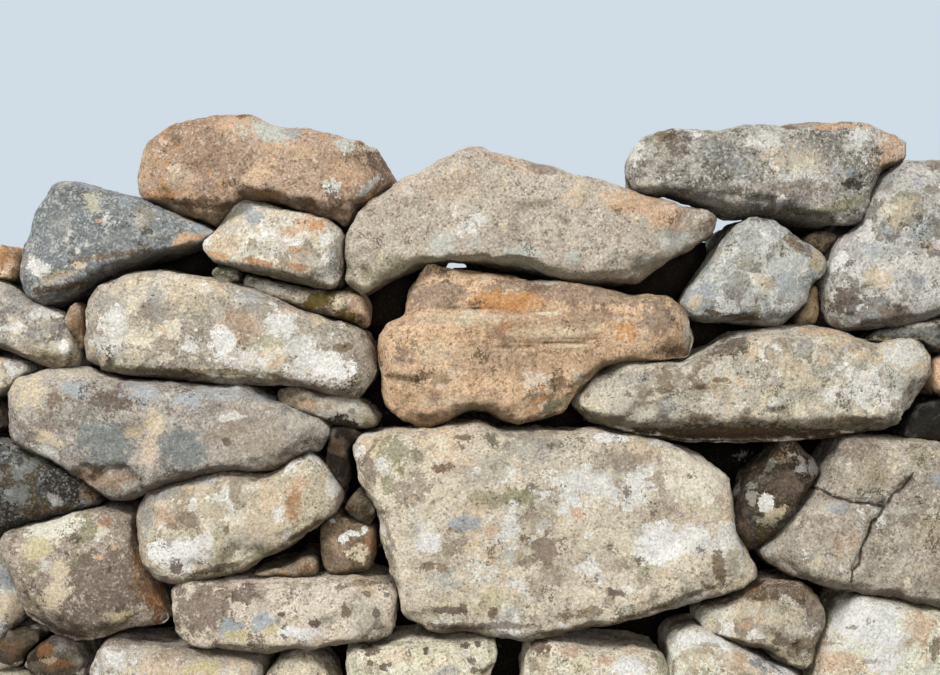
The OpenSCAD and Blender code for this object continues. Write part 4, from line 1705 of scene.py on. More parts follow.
@dataclass
class BeamRow(Course):
    """The long boulders under the copes, which run through the wall."""

    first_seed: int = 400

    def stones(self) -> tuple[Stone, ...]:
        """Lists the row's stones, from left to right."""
        return (
            Stone("left_shoulder_stone", CREAM_GRANITE.of(
                (196, 189, 177), (137, 131, 121),
                stain(-680, 1005, 37, 18, SMOKE, 0.6),
                stain(-657, 970, 32, 12, SMOKE, 0.45),
                crust(-607, 941, 8, 13, WHITE, 0.9),
                stain(-625, 929, 34, 6, OLIVE, 0.5), crust(-689, 970, 16, 8, MILK, 0.7),
                crust(-645, 994, 20, 8, MILK, 0.6),
                dark_amount=0.8, pale_crust=0.3, dark_crust=0.26, dots=0.9,
            ), settings=(Sight((-628, 996), (-596, 989), False, 60.0),)),
            Stone("lichen_beam_stone", CREAM_GRANITE.of(
                (202, 191, 176), (175, 164, 148),
                stain(-471, 1017, 14, 37, SMOKE, 0.65, 1.3, 8),
                stain(-543, 1009, 18, 16, SMOKE, 0.55),
                crust(-535, 982, 23, 18, MILK, 0.85),
                crust(-543, 949, 25, 20, MILK, 0.65),
                stain(-503, 1041, 30, 15, CREAM, 0.55),
                stain(-423, 1017, 37, 24, CREAM, 0.5),
                stain(-343, 969, 40, 23, PEACH, 0.35),
                stain(-274, 994, 15, 6, PEACH, 0.75),
                crust(-335, 1016, 20, 10, BLUE, 0.6),
                crust(-326, 1001, 14, 6, SMOKE, 0.6),
                crust(-278, 974, 25, 18, MILK, 0.8),
                crust(-371, 949, 18, 20, WHITE, 0.85),
                crust(-420, 945, 14, 12, MILK, 0.7),
                crust(-214, 914, 38, 25, WHITE, 0.95, 1.2, -12),
                crust(-250, 941, 24, 23, MILK, 0.65),
                stain(-460, 946, 25, 16, MAUVE, 0.55),
                stain(-507, 982, 16, 10, MAUVE, 0.45),
                crust(-190, 941, 16, 7, BROWN, 0.7),
                stain(-162, 929, 18, 34, MAUVE, 0.5),
                stain(-448, 905, 88, 5, OLIVE, 0.7, 1, -5),
                stain(-351, 903, 88, 5, MOSS, 0.6, 1, -2),
                stain(-162, 875, 24, 7, PLUM, 0.6, 1),
                crust(-303, 950, 23, 7, OLIVE, 0.5),
                crust(-254, 906, 17, 10, MILK, 0.6),
                stain(-351, 1038, 60, 4, OLIVE, 0.5, 1, -13),
                crust(-187, 989, 24, 9, MOSS, 0.85, 1.6, -22),
                crust(-227, 1008, 16, 6, MOSS, 0.6),
                crust(-227, 982, 20, 6, CREAM, 0.5),
                pale_crust=0.26, dark_crust=0.24, dark_tint=(78, 69, 56), dots=0.9,
            )),
            Stone(
                "ledged_brown_stone",
                BROWN_GRANITE.of(
                    (235, 198, 160), (206, 171, 138),
                    stain(-48, 1020, 45, 21, MAUVE, 0.6, 1),
                    stain(145, 1025, 121, 17, MAUVE, 0.6, 1, -5),
                    stain(104, 1031, 29, 12, BROWN, 0.6),
                    stain(48, 1011, 52, 13, ORANGE, 0.8, 1),
                    stain(83, 1003, 18, 10, ORANGE, 0.6),
                    stain(-10, 983, 83, 9, CREAM, 0.6, 1),
                    stain(56, 973, 14, 10, ORANGE, 0.5),
                    stain(-51, 932, 32, 16, CREAM, 0.45),
                    stain(231, 966, 14, 12, ORANGE, 0.7),
                    stain(225, 957, 9, 5, ORANGE, 0.7),
                    stain(128, 966, 59, 10, CREAM, 0.5),
                    crust(117, 992, 22, 3, CREAM, 0.85, 0.6),
                    crust(146, 944, 32, 3, CREAM, 0.7, 0.8),
                    stain(283, 987, 32, 30, MAUVE, 0.55),
                    stain(-51, 897, 22, 10, BROWN, 0.5),
                    stain(-103, 925, 22, 14, MAUVE, 0.5),
                    stain(-79, 841, 50, 12, PEACH, 0.7),
                    stain(59, 845, 21, 12, PEACH, 0.6),
                    stain(-20, 856, 46, 10, CREAM, 0.4),
                    crust(328, 959, 6, 36, SAGE, 0.6, 1),
                    stain(131, 855, 32, 10, OLIVE, 0.7, 1, 40),
                    crust(135, 883, 14, 10, BROWN, 0.6),
                    crust(117, 869, 14, 6, BROWN, 0.55),
                    crust(162, 900, 10, 8, SAGE, 0.5),
                    crust(117, 1038, 21, 3, PALE, 0.7),
                    stain(28, 925, 69, 21, MAUVE, 0.3),
                    stain(179, 987, 41, 14, MAUVE, 0.35),
                    thalli_cover=0.3, pale_grain=(242, 214, 182), pale_crust=0.03,
                    dark_crust=0.05, mottle_size=0.14, second_share=0.4,
                ),
                (
                    Ledge((-100, 999), (110, 995), 13.0, 3.0, 150.0),
                    Crack(((-95, 998), (20, 999), (100, 993)), 4.0, 8.0),
                    Crack(
                        ((45, 942), (76, 941), (117, 949), (166, 949), (200, 958)),
                        3.5, 7.0,
                    ),
                    Crack(((40, 966), (180, 972)), 6.0, 2.5),
                    Crack(((-60, 980), (40, 976), (120, 984)), 7.0, 2.0),
                    Dent((120, 905), (60, 40), 8.0),
                    Facet((230, 925), (0.6, -0.8), 0.5, 10.0),
                ),
                (Sight((40, 1054), (70, 1052), reach=40.0),),
            ),
            Stone(
                "wavy_cream_stone",
                CREAM_GRANITE.of(
                    (226, 217, 199), (192, 182, 163),
                    stain(386, 940, 31, 11, PLUM, 0.75, 1.2, 20),
                    stain(349, 917, 22, 7, BROWN, 0.6, 1, 30),
                    crust(339, 891, 12, 12, BROWN, 0.65),
                    crust(373, 892, 12, 4, BROWN, 0.7),
                    stain(251, 895, 23, 9, SMOKE, 0.6),
                    stain(295, 853, 18, 15, SMOKE, 0.6),
                    crust(466, 864, 13, 7, SAGE, 0.5),
                    stain(230, 913, 38, 6, PALE, 0.5),
                    crust(292, 891, 11, 17, BROWN, 0.6),
                    stain(473, 922, 23, 14, SAND, 0.65),
                    stain(499, 942, 16, 13, SMOKE, 0.6),
                    crust(509, 927, 6, 7, PLUM, 0.6),
                    stain(524, 966, 31, 5, PEACH, 0.6),
                    crust(644, 931, 29, 20, MILK, 0.7),
                    stain(637, 887, 15, 17, SAGE, 0.6),
                    stain(198, 834, 33, 6, OLIVE, 0.6, 1, -14),
                    # Partly stain, partly painted shade: the dark band along the
                    # underside.
                    stain(397, 813, 171, 12, UMBER, 0.9, 0.9),
                    stain(411, 816, 44, 4, RUST, 0.35),
                    crust(397, 824, 15, 3, SAND, 0.75),
                    stain(353, 837, 23, 6, BROWN, 0.65),
                    stain(586, 830, 31, 7, BROWN, 0.5),
                    crust(551, 870, 5, 3, PLUM, 0.7), crust(240, 871, 7, 4, PLUM, 0.6),
                    crust(175, 873, 5, 9, BROWN, 0.6),
                    pale_crust=0.26, crust_tint=(222, 217, 202), dark_crust=0.2,
                    dark_tint=(84, 74, 56), damp=(56, 46, 28), damp_reach=0.5,
                ),
                (Facet((360, 834), (0.0, -1.0), 1.0, 4.0),),
            ),
            Stone("flat_green_stone", DARK_GRANITE.of(
                (78, 79, 68), (54, 55, 46),
                stain(651, 965, 47, 7, SLATE, 0.5),
                stain(677, 976, 33, 4, PALE, 0.65, 1.2, 6),
                stain(660, 966, 10, 4, SMOKE, 0.5), stain(690, 950, 19, 5, SLATE, 0.5),
                pale_crust=0.1,
            )),
        )


@dataclass
class FaceStones(Course):
    """The front skin below the beams, where the wall is double."""

    first_seed: int = 600

    def stones(self) -> tuple[Stone, ...]:
        """Lists the skin's stones, from the top row down."""
        return self._upper() + self._middle() + self._lower()

    def _upper(self) -> tuple[Stone, ...]:
        """Lists the big stones under the beams."""
        return (
            Stone(
                "dark_centre_stone",
                GREY_GRANITE.of(
                    (194, 182, 168), (166, 155, 143),
                    stain(-660, 877, 30, 24, CREAM, 0.75),
                    crust(-592, 879, 20, 10, BLUE, 0.75),
                    crust(-491, 875, 24, 12, BLUE, 0.7),
                    crust(-423, 861, 20, 11, BLUE, 0.8),
                    crust(-375, 871, 38, 9, BLUE, 0.55),
                    crust(-310, 865, 25, 7, BLUE, 0.6),
                    stain(-556, 898, 39, 5, PALE, 0.7),
                    stain(-531, 861, 37, 18, PLUM, 0.75),
                    stain(-620, 861, 17, 12, BROWN, 0.65),
                    stain(-543, 800, 43, 37, SLATE, 0.9, 0.9),
                    stain(-431, 792, 35, 40, SLATE, 0.9, 0.9),
                    crust(-475, 832, 17, 18, CREAM, 0.85, 1),
                    crust(-504, 816, 13, 10, SAND, 0.75),
                    crust(-482, 784, 14, 23, (222, 202, 178), 0.8, 1),
                    stain(-644, 824, 42, 18, MAUVE, 0.6),
                    crust(-632, 804, 26, 10, CREAM, 0.75, 1.2, -25),
                    stain(-351, 820, 30, 23, MAUVE, 0.7),
                    crust(-363, 799, 8, 7, PLUM, 0.7),
                    stain(-302, 796, 23, 12, MAUVE, 0.5),
                    crust(-242, 828, 34, 14, PALE, 0.6),
                    stain(-282, 768, 39, 7, OLIVE, 0.5, 1, 14),
                    crust(-363, 837, 20, 6, MILK, 0.65),
                    crust(-319, 855, 25, 5, PALE, 0.7),
                    stain(-552, 745, 44, 16, (178, 142, 110), 0.55, 1),
                    stain(-560, 905, 90, 12, (226, 214, 192), 0.7),
                    stain(-330, 812, 60, 40, (196, 180, 160), 0.5),
                    thalli_cover=0.35, pale_crust=0.14, dark_crust=0.12,
                ),
                (Crack(
                    ((-568, 742), (-547, 759), (-517, 759), (-494, 740), (-492, 726)),
                    5.0, 9.0,
                ),),
            ),
            Stone("big_centre_stone", CREAM_GRANITE.of(
                (240, 225, 201), (214, 199, 177),
                crust(344, 752, 42, 52, (246, 238, 220), 0.72, 1.5, -35),
                stain(300, 700, 60, 20, (206, 188, 166), 0.5),
                stain(-111, 782, 30, 24, OLIVE, 0.75, 1.3),
                crust(-129, 767, 10, 11, MILK, 0.8),
                stain(-150, 752, 10, 25, MAUVE, 0.6),
                crust(172, 732, 46, 24, WHITE, 0.6, 2.2),
                crust(247, 725, 21, 25, WHITE, 0.6, 2.2),
                crust(63, 675, 11, 27, WHITE, 0.65, 1.8),
                crust(-39, 761, 19, 8, BROWN, 0.75),
                stain(-123, 731, 10, 13, OLIVE, 0.6),
                stain(41, 715, 51, 13, OLIVE, 0.6, 1.3),
                stain(71, 719, 26, 11, OLIVE, 0.6), stain(95, 787, 52, 21, SMOKE, 0.4),
                crust(151, 740, 27, 18, MILK, 0.75, 2),
                crust(196, 746, 21, 18, MILK, 0.75, 2),
                crust(159, 712, 11, 10, WHITE, 0.85),
                crust(243, 729, 23, 14, MILK, 0.75, 2),
                crust(239, 704, 11, 11, MILK, 0.75), crust(142, 696, 8, 8, MILK, 0.7),
                crust(205, 806, 24, 8, WHITE, 0.9),
                # A pale crust that is partly a painted highlight, where the face turns
                # towards the light.
                crust(346, 752, 46, 28, IVORY_HIGHLIGHT, 0.9, 1, -35),
                stain(247, 771, 51, 17, MAUVE, 0.45),
                stain(298, 698, 39, 14, MAUVE, 0.35),
                stain(100, 681, 26, 24, MAUVE, 0.45),
                crust(63, 677, 10, 24, MILK, 0.85), stain(58, 625, 10, 21, SAGE, 0.6),
                crust(114, 639, 18, 19, MAUVE, 0.75, 0.8),
                stain(-6, 677, 30, 11, BLUE, 0.75, 1),
                stain(27, 665, 11, 8, PEACH, 0.7), stain(163, 693, 10, 8, PEACH, 0.7),
                crust(-60, 650, 18, 15, WHITE, 0.95, 1),
                crust(-64, 614, 10, 6, BROWN, 0.7), crust(-43, 609, 6, 7, BROWN, 0.6),
                stain(83, 618, 18, 8, MAUVE, 0.6),
                crust(289, 646, 39, 30, WHITE, 0.96, 1),
                crust(345, 650, 21, 19, MILK, 0.85), crust(328, 666, 19, 6, MILK, 0.8),
                stain(373, 612, 9, 28, BROWN, 0.75, 1, 10),
                crust(394, 620, 10, 18, SAND, 0.6), crust(-29, 546, 19, 5, PLUM, 0.75),
                crust(-10, 550, 5, 9, PLUM, 0.7), crust(32, 543, 6, 8, BROWN, 0.65),
                crust(220, 572, 15, 7, PLUM, 0.75), crust(150, 538, 19, 9, BROWN, 0.7),
                crust(185, 543, 13, 7, BROWN, 0.6), stain(252, 550, 23, 8, OLIVE, 0.5),
                stain(260, 618, 18, 16, OLIVE, 0.5),
                stain(-35, 593, 26, 13, SAGE, 0.55),
                stain(112, 593, 23, 24, MAUVE, 0.4),
                # Partly stain, partly painted shade: thin dark bands along the bottom rim,
                # where the face turns under.
                stain(7, 523, 101, 5, UMBER, 0.6, 1),
                stain(163, 518, 84, 4, UMBER, 0.55, 1, 8),
                stain(302, 559, 80, 4, UMBER, 0.55, 1, 20),
                stain(-120, 635, 7, 25, MAUVE, 0.6),
                crust(-10, 806, 13, 4, BROWN, 0.75),
                stain(15, 559, 51, 17, LEMON, 0.35),
                pale_crust=0.18, dark_crust=0.14, dark_tint=(104, 90, 74),
                mottle_size=0.16, thalli_cover=0.5,
            )),
            Stone("tilted_dark_stone", DARK_GRANITE.of(
                (80, 63, 43), (54, 40, 28),
                stain(448, 758, 23, 23, BLACK, 0.55),
                stain(475, 736, 23, 20, PLUM, 0.6),
                crust(443, 708, 12, 16, MILK, 0.9, 0.9),
                crust(456, 688, 22, 10, CREAM, 0.7, 1, 30),
                crust(496, 757, 9, 5, SMOKE, 0.75), crust(513, 762, 7, 15, SMOKE, 0.5),
                stain(411, 667, 15, 22, BROWN, 0.5),
                pale_grain=(168, 148, 124), crust_tint=(164, 150, 128),
            )),
            Stone(
                "cracked_stone",
                CREAM_GRANITE.of(
                    (206, 193, 175), (173, 161, 145),
                    *(
                        seam(start, end, 2.4, (52, 42, 32), 0.7)
                        for path in (
                            (
                                (513, 731), (528, 728), (545, 717), (560, 714),
                                (575, 708), (598, 707), (621, 702),
                            ),
                            (
                                (621, 702), (612, 686), (603, 681), (597, 660),
                                (586, 640), (584, 618), (574, 606), (572, 588),
                            ),
                            ((626, 706), (634, 722), (648, 730), (666, 754)),
                        )
                        for start, end in zip(path, path[1:])
                    ),
                    stain(579, 786, 23, 17, MAUVE, 0.55),
                    stain(604, 750, 31, 25, SAND, 0.5),
                    stain(674, 776, 15, 22, OLIVE, 0.5),
                    crust(546, 699, 18, 8, BLUE, 0.7),
                    crust(703, 743, 12, 12, BLUE, 0.7),
                    stain(564, 648, 23, 18, PEACH, 0.35),
                    stain(691, 663, 23, 22, SAND, 0.45),
                    stain(651, 807, 33, 5, OLIVE, 0.6),
                    stain(520, 685, 15, 11, MAUVE, 0.5),
                    crust(644, 696, 15, 6, SAGE, 0.5),
                    stain(651, 685, 22, 15, MAUVE, 0.4),
                    stain(448, 638, 9, 7, BLUE, 0.5),
                    thalli_cover=0.35, dark_grain=(90, 76, 62), pale_crust=0.12,
                    dark_crust=0.16, dark_tint=(88, 76, 60),
                ),
                (
                    Crack(((510, 722), (570, 709), (629, 703)), 5.0, 13.0),
                    Crack(((618, 697), (601, 665), (586, 630), (574, 606)), 4.0, 9.0),
                    Crack(((666, 743), (645, 729), (622, 703)), 4.0, 10.0),
                    Ledge((505, 723), (632, 702), 9.0, 3.0, 90.0),
                    Dent((640, 650), (40, 50), 5.0),
                ),
            ),
            Stone("black_streaked_stone", DARK_GRANITE.of(
                (102, 102, 99), (61, 60, 57),
                stain(-619, 736, 21, 15, BLACK, 0.7),
                stain(-595, 729, 14, 17, BLACK, 0.6),
                crust(-660, 764, 31, 10, SLATE, 0.6, 1.8, 35),
                crust(-684, 722, 24, 14, SLATE, 0.55, 2.2, 45),
                crust(-623, 710, 4, 7, BLUE, 0.7), crust(-584, 749, 9, 6, MILK, 0.5),
                stain(-572, 721, 14, 17, BROWN, 0.8),
                stain(-636, 696, 45, 5, UMBER, 0.75, 1, 12),
                dark_grain=(24, 22, 20), pale_grain=(172, 172, 168), pale_amount=0.65,
                pale_crust=0.14, crust_tint=(150, 152, 150), dark_crust=0.25,
            )),
        )

    def _middle(self) -> tuple[Stone, ...]:
        """Lists the stones of the middle rows."""
        return (
            Stone("beige_wedge_stone", CREAM_GRANITE.of(
                (209, 195, 167), (188, 175, 149),
                crust(-441, 630, 40, 21, WHITE, 0.95, 1.3),
                crust(-443, 612, 9, 8, PLUM, 0.75), crust(-452, 645, 4, 6, SMOKE, 0.5),
                stain(-429, 684, 21, 13, BROWN, 0.6),
                stain(-386, 695, 21, 17, SAND, 0.7),
                stain(-456, 688, 14, 12, PEACH, 0.5),
                stain(-464, 720, 34, 7, SMOKE, 0.7, 1, 14),
                stain(-486, 684, 8, 25, SMOKE, 0.65),
                stain(-405, 740, 18, 9, SMOKE, 0.55),
                stain(-267, 708, 13, 21, RUST, 0.6),
                stain(-257, 739, 11, 10, PEACH, 0.6),
                crust(-208, 735, 11, 14, MILK, 0.7),
                stain(-376, 610, 29, 6, PLUM, 0.75, 1, 12),
                stain(-316, 631, 45, 5, OLIVE, 0.65, 1, 24),
                stain(-247, 669, 29, 4, BROWN, 0.7, 1, 32),
                stain(-326, 673, 45, 21, CREAM, 0.5),
                crust(-323, 742, 7, 3, BROWN, 0.7), crust(-366, 667, 4, 6, BROWN, 0.7),
                pale_crust=0.2, dark_crust=0.12, second_share=0.35,
            )),
            Stone(
                "square_mottled_stone",
                CREAM_GRANITE.of(
                    (196, 177, 159), (167, 150, 134),
                    crust(-628, 672, 44, 20, (244, 238, 218), 0.95, 0.8, 17),
                    stain(-577, 671, 14, 29, OLIVE, 0.75, 1),
                    stain(-584, 612, 19, 29, OLIVE, 0.6, 1),
                    crust(-650, 634, 21, 20, (222, 208, 168), 0.85, 0.9),
                    crust(-636, 617, 9, 10, MILK, 0.6),
                    stain(-657, 611, 12, 10, OLIVE, 0.7),
                    stain(-640, 590, 15, 12, MAUVE, 0.6),
                    crust(-615, 605, 14, 17, CREAM, 0.75),
                    crust(-622, 570, 18, 30, (224, 206, 176), 0.8, 1.3, -30),
                    stain(-651, 560, 12, 19, OLIVE, 0.6),
                    stain(-540, 590, 62, 50, (132, 115, 102), 0.75, 1.0),
                    stain(-570, 545, 56, 24, (126, 110, 98), 0.7),
                    stain(-486, 597, 22, 62, (148, 112, 76), 0.75, 1, 8),
                    stain(-467, 560, 12, 24, RUST, 0.6),
                    stain(-498, 660, 12, 24, BROWN, 0.7),
                    stain(-478, 612, 7, 34, BROWN, 0.6, 1, 12),
                    crust(-522, 537, 19, 6, LEMON, 0.7, 1.4, 12),
                    crust(-556, 626, 8, 4, PEACH, 0.7),
                    crust(-533, 641, 4, 3, PEACH, 0.7),
                    crust(-536, 539, 14, 4, CREAM, 0.5),
                    stain(-550, 681, 12, 8, RUST, 0.4),
                    stain(-574, 516, 45, 3, OLIVE, 0.6),
                    thalli_cover=0.3, pale_crust=0.14, dark_crust=0.22,
                    dark_tint=(92, 76, 64), pale_amount=0.6,
                ),
                (
                    Facet((-500, 600), (1.0, -0.25), 0.55, 12.0),
                    Dent((-585, 640), (16, 50), 5.0),
                    Facet((-600, 560), (-0.3, -1.0), 0.4, 10.0),
                ),
            ),
            # Painted light: its near white body is brighter than its own colour, against
            # the shade that falls on it.
            Stone("left_grey_stone", CREAM_GRANITE.of(
                (252, 252, 252), (252, 252, 248),
                crust(-693, 553, 22, 24, CREAM, 0.85, 1),
                stain(-695, 594, 17, 19, BLUE, 0.7),
                stain(-675, 609, 7, 17, SMOKE, 0.6),
                stain(-684, 523, 21, 5, UMBER, 0.6),
            )),
            Stone("spotted_long_stone", CREAM_GRANITE.of(
                (242, 226, 206), (220, 205, 188),
                stain(-400, 549, 40, 38, MAUVE, 0.8, 1.2),
                stain(-339, 574, 19, 14, PLUM, 0.7, 1.2, 20),
                stain(-374, 587, 17, 7, BROWN, 0.5),
                crust(-361, 518, 14, 12, BLUE, 0.85),
                crust(-346, 509, 17, 7, LEMON, 0.7),
                crust(-309, 529, 15, 14, BLUE, 0.9),
                crust(-298, 515, 11, 9, LEMON, 0.6), crust(-278, 512, 6, 10, PLUM, 0.8),
                crust(-250, 513, 29, 7, WHITE, 0.9), crust(-229, 527, 14, 5, PLUM, 0.8),
                crust(-283, 540, 5, 3, PLUM, 0.8), crust(-188, 547, 9, 10, BROWN, 0.75),
                crust(-195, 582, 10, 4, BROWN, 0.7),
                stain(-177, 586, 22, 5, BROWN, 0.6),
                stain(-257, 586, 18, 4, OLIVE, 0.5), crust(-154, 571, 6, 4, BROWN, 0.7),
                crust(-140, 543, 5, 6, PLUM, 0.7), crust(-123, 571, 6, 4, PLUM, 0.7),
                stain(-133, 591, 17, 5, MAUVE, 0.6),
                pale_crust=0.2, dark_crust=0.14, dark_tint=(100, 86, 68),
                second_share=0.36,
                thalli_cover=0.4,
            )),
            Stone("beige_slope_stone", CREAM_GRANITE.of(
                (186, 174, 152), (156, 143, 123),
                # Painted shade: the dark brown zone along the top, which lies in shade.
                stain(444, 576, 49, 14, UMBER, 0.7, 1.2),
                stain(424, 584, 16, 7, RUST, 0.4), stain(504, 571, 22, 15, BROWN, 0.6),
                stain(370, 562, 32, 11, UMBER, 0.7, 1),
                stain(416, 546, 57, 14, CREAM, 0.55, 1.2),
                crust(473, 536, 34, 10, CREAM, 0.6), crust(424, 547, 9, 4, SAGE, 0.6),
                crust(451, 544, 9, 5, SAGE, 0.7), stain(512, 540, 14, 23, MAUVE, 0.7),
                stain(469, 502, 19, 10, PLUM, 0.75),
                stain(501, 494, 16, 17, BROWN, 0.5), stain(446, 519, 16, 6, BROWN, 0.4),
                crust(416, 524, 10, 5, PEACH, 0.45), crust(490, 517, 17, 9, PALE, 0.5),
                stain(479, 477, 26, 7, UMBER, 0.4, 1, -20),
                crust(370, 543, 14, 7, MILK, 0.5),
                dark_grain=(84, 70, 54), dark_amount=0.7, pale_crust=0.22,
                dark_crust=0.18,
            )),
        )

    def _lower(self) -> tuple[Stone, ...]:
        """Lists the lowest row that the photograph shows."""
        return (
            Stone("grey_white_stone", CREAM_GRANITE.of(
                (214, 202, 189), (186, 173, 162),
                crust(-533, 467, 18, 17, MILK, 0.7),
                crust(-401, 463, 21, 15, LEMON, 0.65),
                stain(-511, 499, 36, 6, MAUVE, 0.7),
                stain(-446, 481, 34, 12, MAUVE, 0.45),
                crust(-485, 485, 14, 7, PALE, 0.6),
                crust(-340, 474, 21, 10, CREAM, 0.6),
                stain(-347, 493, 21, 4, PLUM, 0.5),
                stain(-143, 588, 35, 13, PLUM, 0.6, 1.3),
                crust(-126, 574, 9, 7, CREAM, 0.85, 1),
                crust(-187, 579, 18, 11, WHITE, 0.7),
                crust(-182, 588, 13, 4, BROWN, 0.5),
                crust(-188, 547, 10, 11, MAUVE, 0.8),
                crust(-143, 553, 10, 7, MAUVE, 0.85),
                crust(-125, 558, 11, 8, MAUVE, 0.55),
                crust(-160, 544, 4, 6, MAUVE, 0.8), crust(-156, 525, 4, 7, MAUVE, 0.75),
                crust(-131, 524, 4, 3, MAUVE, 0.85),
                stain(-180, 522, 22, 13, LEMON, 0.35),
                crust(-143, 535, 20, 10, CREAM, 0.5),
                pale_crust=0.24, dark_crust=0.14, dark_tint=(108, 94, 78),
            )),
            Stone("round_spotted_stone", CREAM_GRANITE.of(
                (252, 246, 218), (246, 230, 200),
                # Partly stain, partly painted shade: the greenish band along the top rim.
                stain(-130, 498, 44, 4, OLIVE, 0.4, 1),
                stain(31, 489, 6, 20, OLIVE, 0.6, 1),
                stain(-59, 487, 37, 15, LEMON, 0.3),
                stain(-110, 475, 33, 15, PEACH, 0.35),
                stain(-36, 454, 20, 9, BLUE, 0.5), crust(-150, 488, 11, 8, PLUM, 0.8),
                crust(-91, 484, 6, 5, MAUVE, 0.85), crust(-90, 498, 7, 4, MAUVE, 0.6),
                crust(-67, 487, 4, 7, PLUM, 0.85), crust(-7, 494, 6, 6, PLUM, 0.8),
                crust(12, 495, 5, 5, PLUM, 0.85), crust(2, 471, 6, 7, MAUVE, 0.8),
                crust(-130, 461, 6, 5, PLUM, 0.8), crust(-121, 465, 4, 3, PLUM, 0.75),
                crust(-150, 468, 4, 3, PLUM, 0.7), crust(9, 456, 11, 4, BROWN, 0.7),
                crust(29, 485, 4, 3, PLUM, 0.6), crust(-9, 482, 13, 5, MILK, 0.4),
                pale_crust=0.14, dark_crust=0.03, second_share=0.3, thalli_cover=0.3,
                dots=0.4,
            )),
            Stone("cream_block_stone", CREAM_GRANITE.of(
                (252, 240, 216), (237, 220, 196),
                stain(103, 494, 14, 15, UMBER, 0.75, 1.2),
                stain(93, 466, 9, 18, MAUVE, 0.6), crust(111, 470, 8, 10, SAND, 0.5),
                stain(128, 505, 15, 4, BROWN, 0.5), stain(150, 485, 17, 9, PEACH, 0.7),
                stain(202, 473, 14, 11, PEACH, 0.8),
                stain(239, 488, 30, 6, PEACH, 0.35),
                crust(240, 461, 29, 16, WHITE, 0.95, 1.2),
                crust(276, 482, 5, 7, MAUVE, 0.6), stain(286, 475, 8, 19, OLIVE, 0.6),
                stain(168, 465, 20, 13, LEMON, 0.35),
                pale_crust=0.2, dark_crust=0.05, second_share=0.3, thalli_cover=0.3,
                dots=0.5,
            )),
            Stone("white_slope_stone", CREAM_GRANITE.of(
                (252, 252, 235), (252, 238, 216),
                # Painted shade: the dark patch at the upper left, where the face lies in
                # shade.
                stain(314, 538, 16, 17, BROWN, 0.65, 1.2),
                stain(317, 522, 18, 5, SAND, 0.5),
                crust(337, 503, 30, 11, WHITE, 0.8, 1.3),
                crust(378, 496, 24, 7, WHITE, 0.8, 1, -28),
                crust(456, 462, 37, 10, WHITE, 0.9, 1, -22),
                crust(355, 488, 17, 6, MAUVE, 0.35),
                crust(433, 468, 10, 8, SMOKE, 0.85), crust(442, 458, 10, 7, SMOKE, 0.8),
                crust(357, 454, 9, 5, OLIVE, 0.55), stain(398, 471, 23, 14, PEACH, 0.4),
                stain(324, 468, 20, 20, CREAM, 0.4),
                crust(354, 495, 15, 3, BROWN, 0.45), crust(304, 507, 6, 9, SMOKE, 0.5),
                stain(376, 477, 11, 10, OLIVE, 0.3),
                dark_grain=(136, 122, 104), pale_crust=0.3, dark_crust=0.14,
                dark_tint=(128, 114, 96), thalli_cover=0.45,
            )),
            Stone("white_patch_stone", CREAM_GRANITE.of(
                (252, 252, 229), (252, 237, 210),
                stain(530, 537, 13, 34, OLIVE, 0.6, 1),
                # Partly stain, partly painted shade: the greenish grey band along the top
                # rim.
                stain(576, 570, 55, 7, OLIVE, 0.65, 1),
                stain(671, 551, 43, 6, OLIVE, 0.55, 1, -8),
                stain(553, 468, 43, 17, PEACH, 0.55),
                stain(668, 517, 32, 32, PEACH, 0.55),
                crust(599, 526, 52, 43, WHITE, 0.97, 1),
                crust(625, 468, 30, 20, WHITE, 0.9, 1.2),
                crust(559, 494, 26, 11, MILK, 0.5), crust(699, 491, 8, 14, BROWN, 0.7),
                crust(685, 458, 13, 8, SAGE, 0.6), crust(571, 520, 10, 3, BROWN, 0.6),
                crust(542, 497, 16, 3, BROWN, 0.5), crust(586, 495, 6, 3, BROWN, 0.6),
                crust(602, 470, 17, 3, BROWN, 0.4),
                pale_crust=0.18, dark_crust=0.06, thalli_cover=0.35, dots=0.5,
            )),
        )


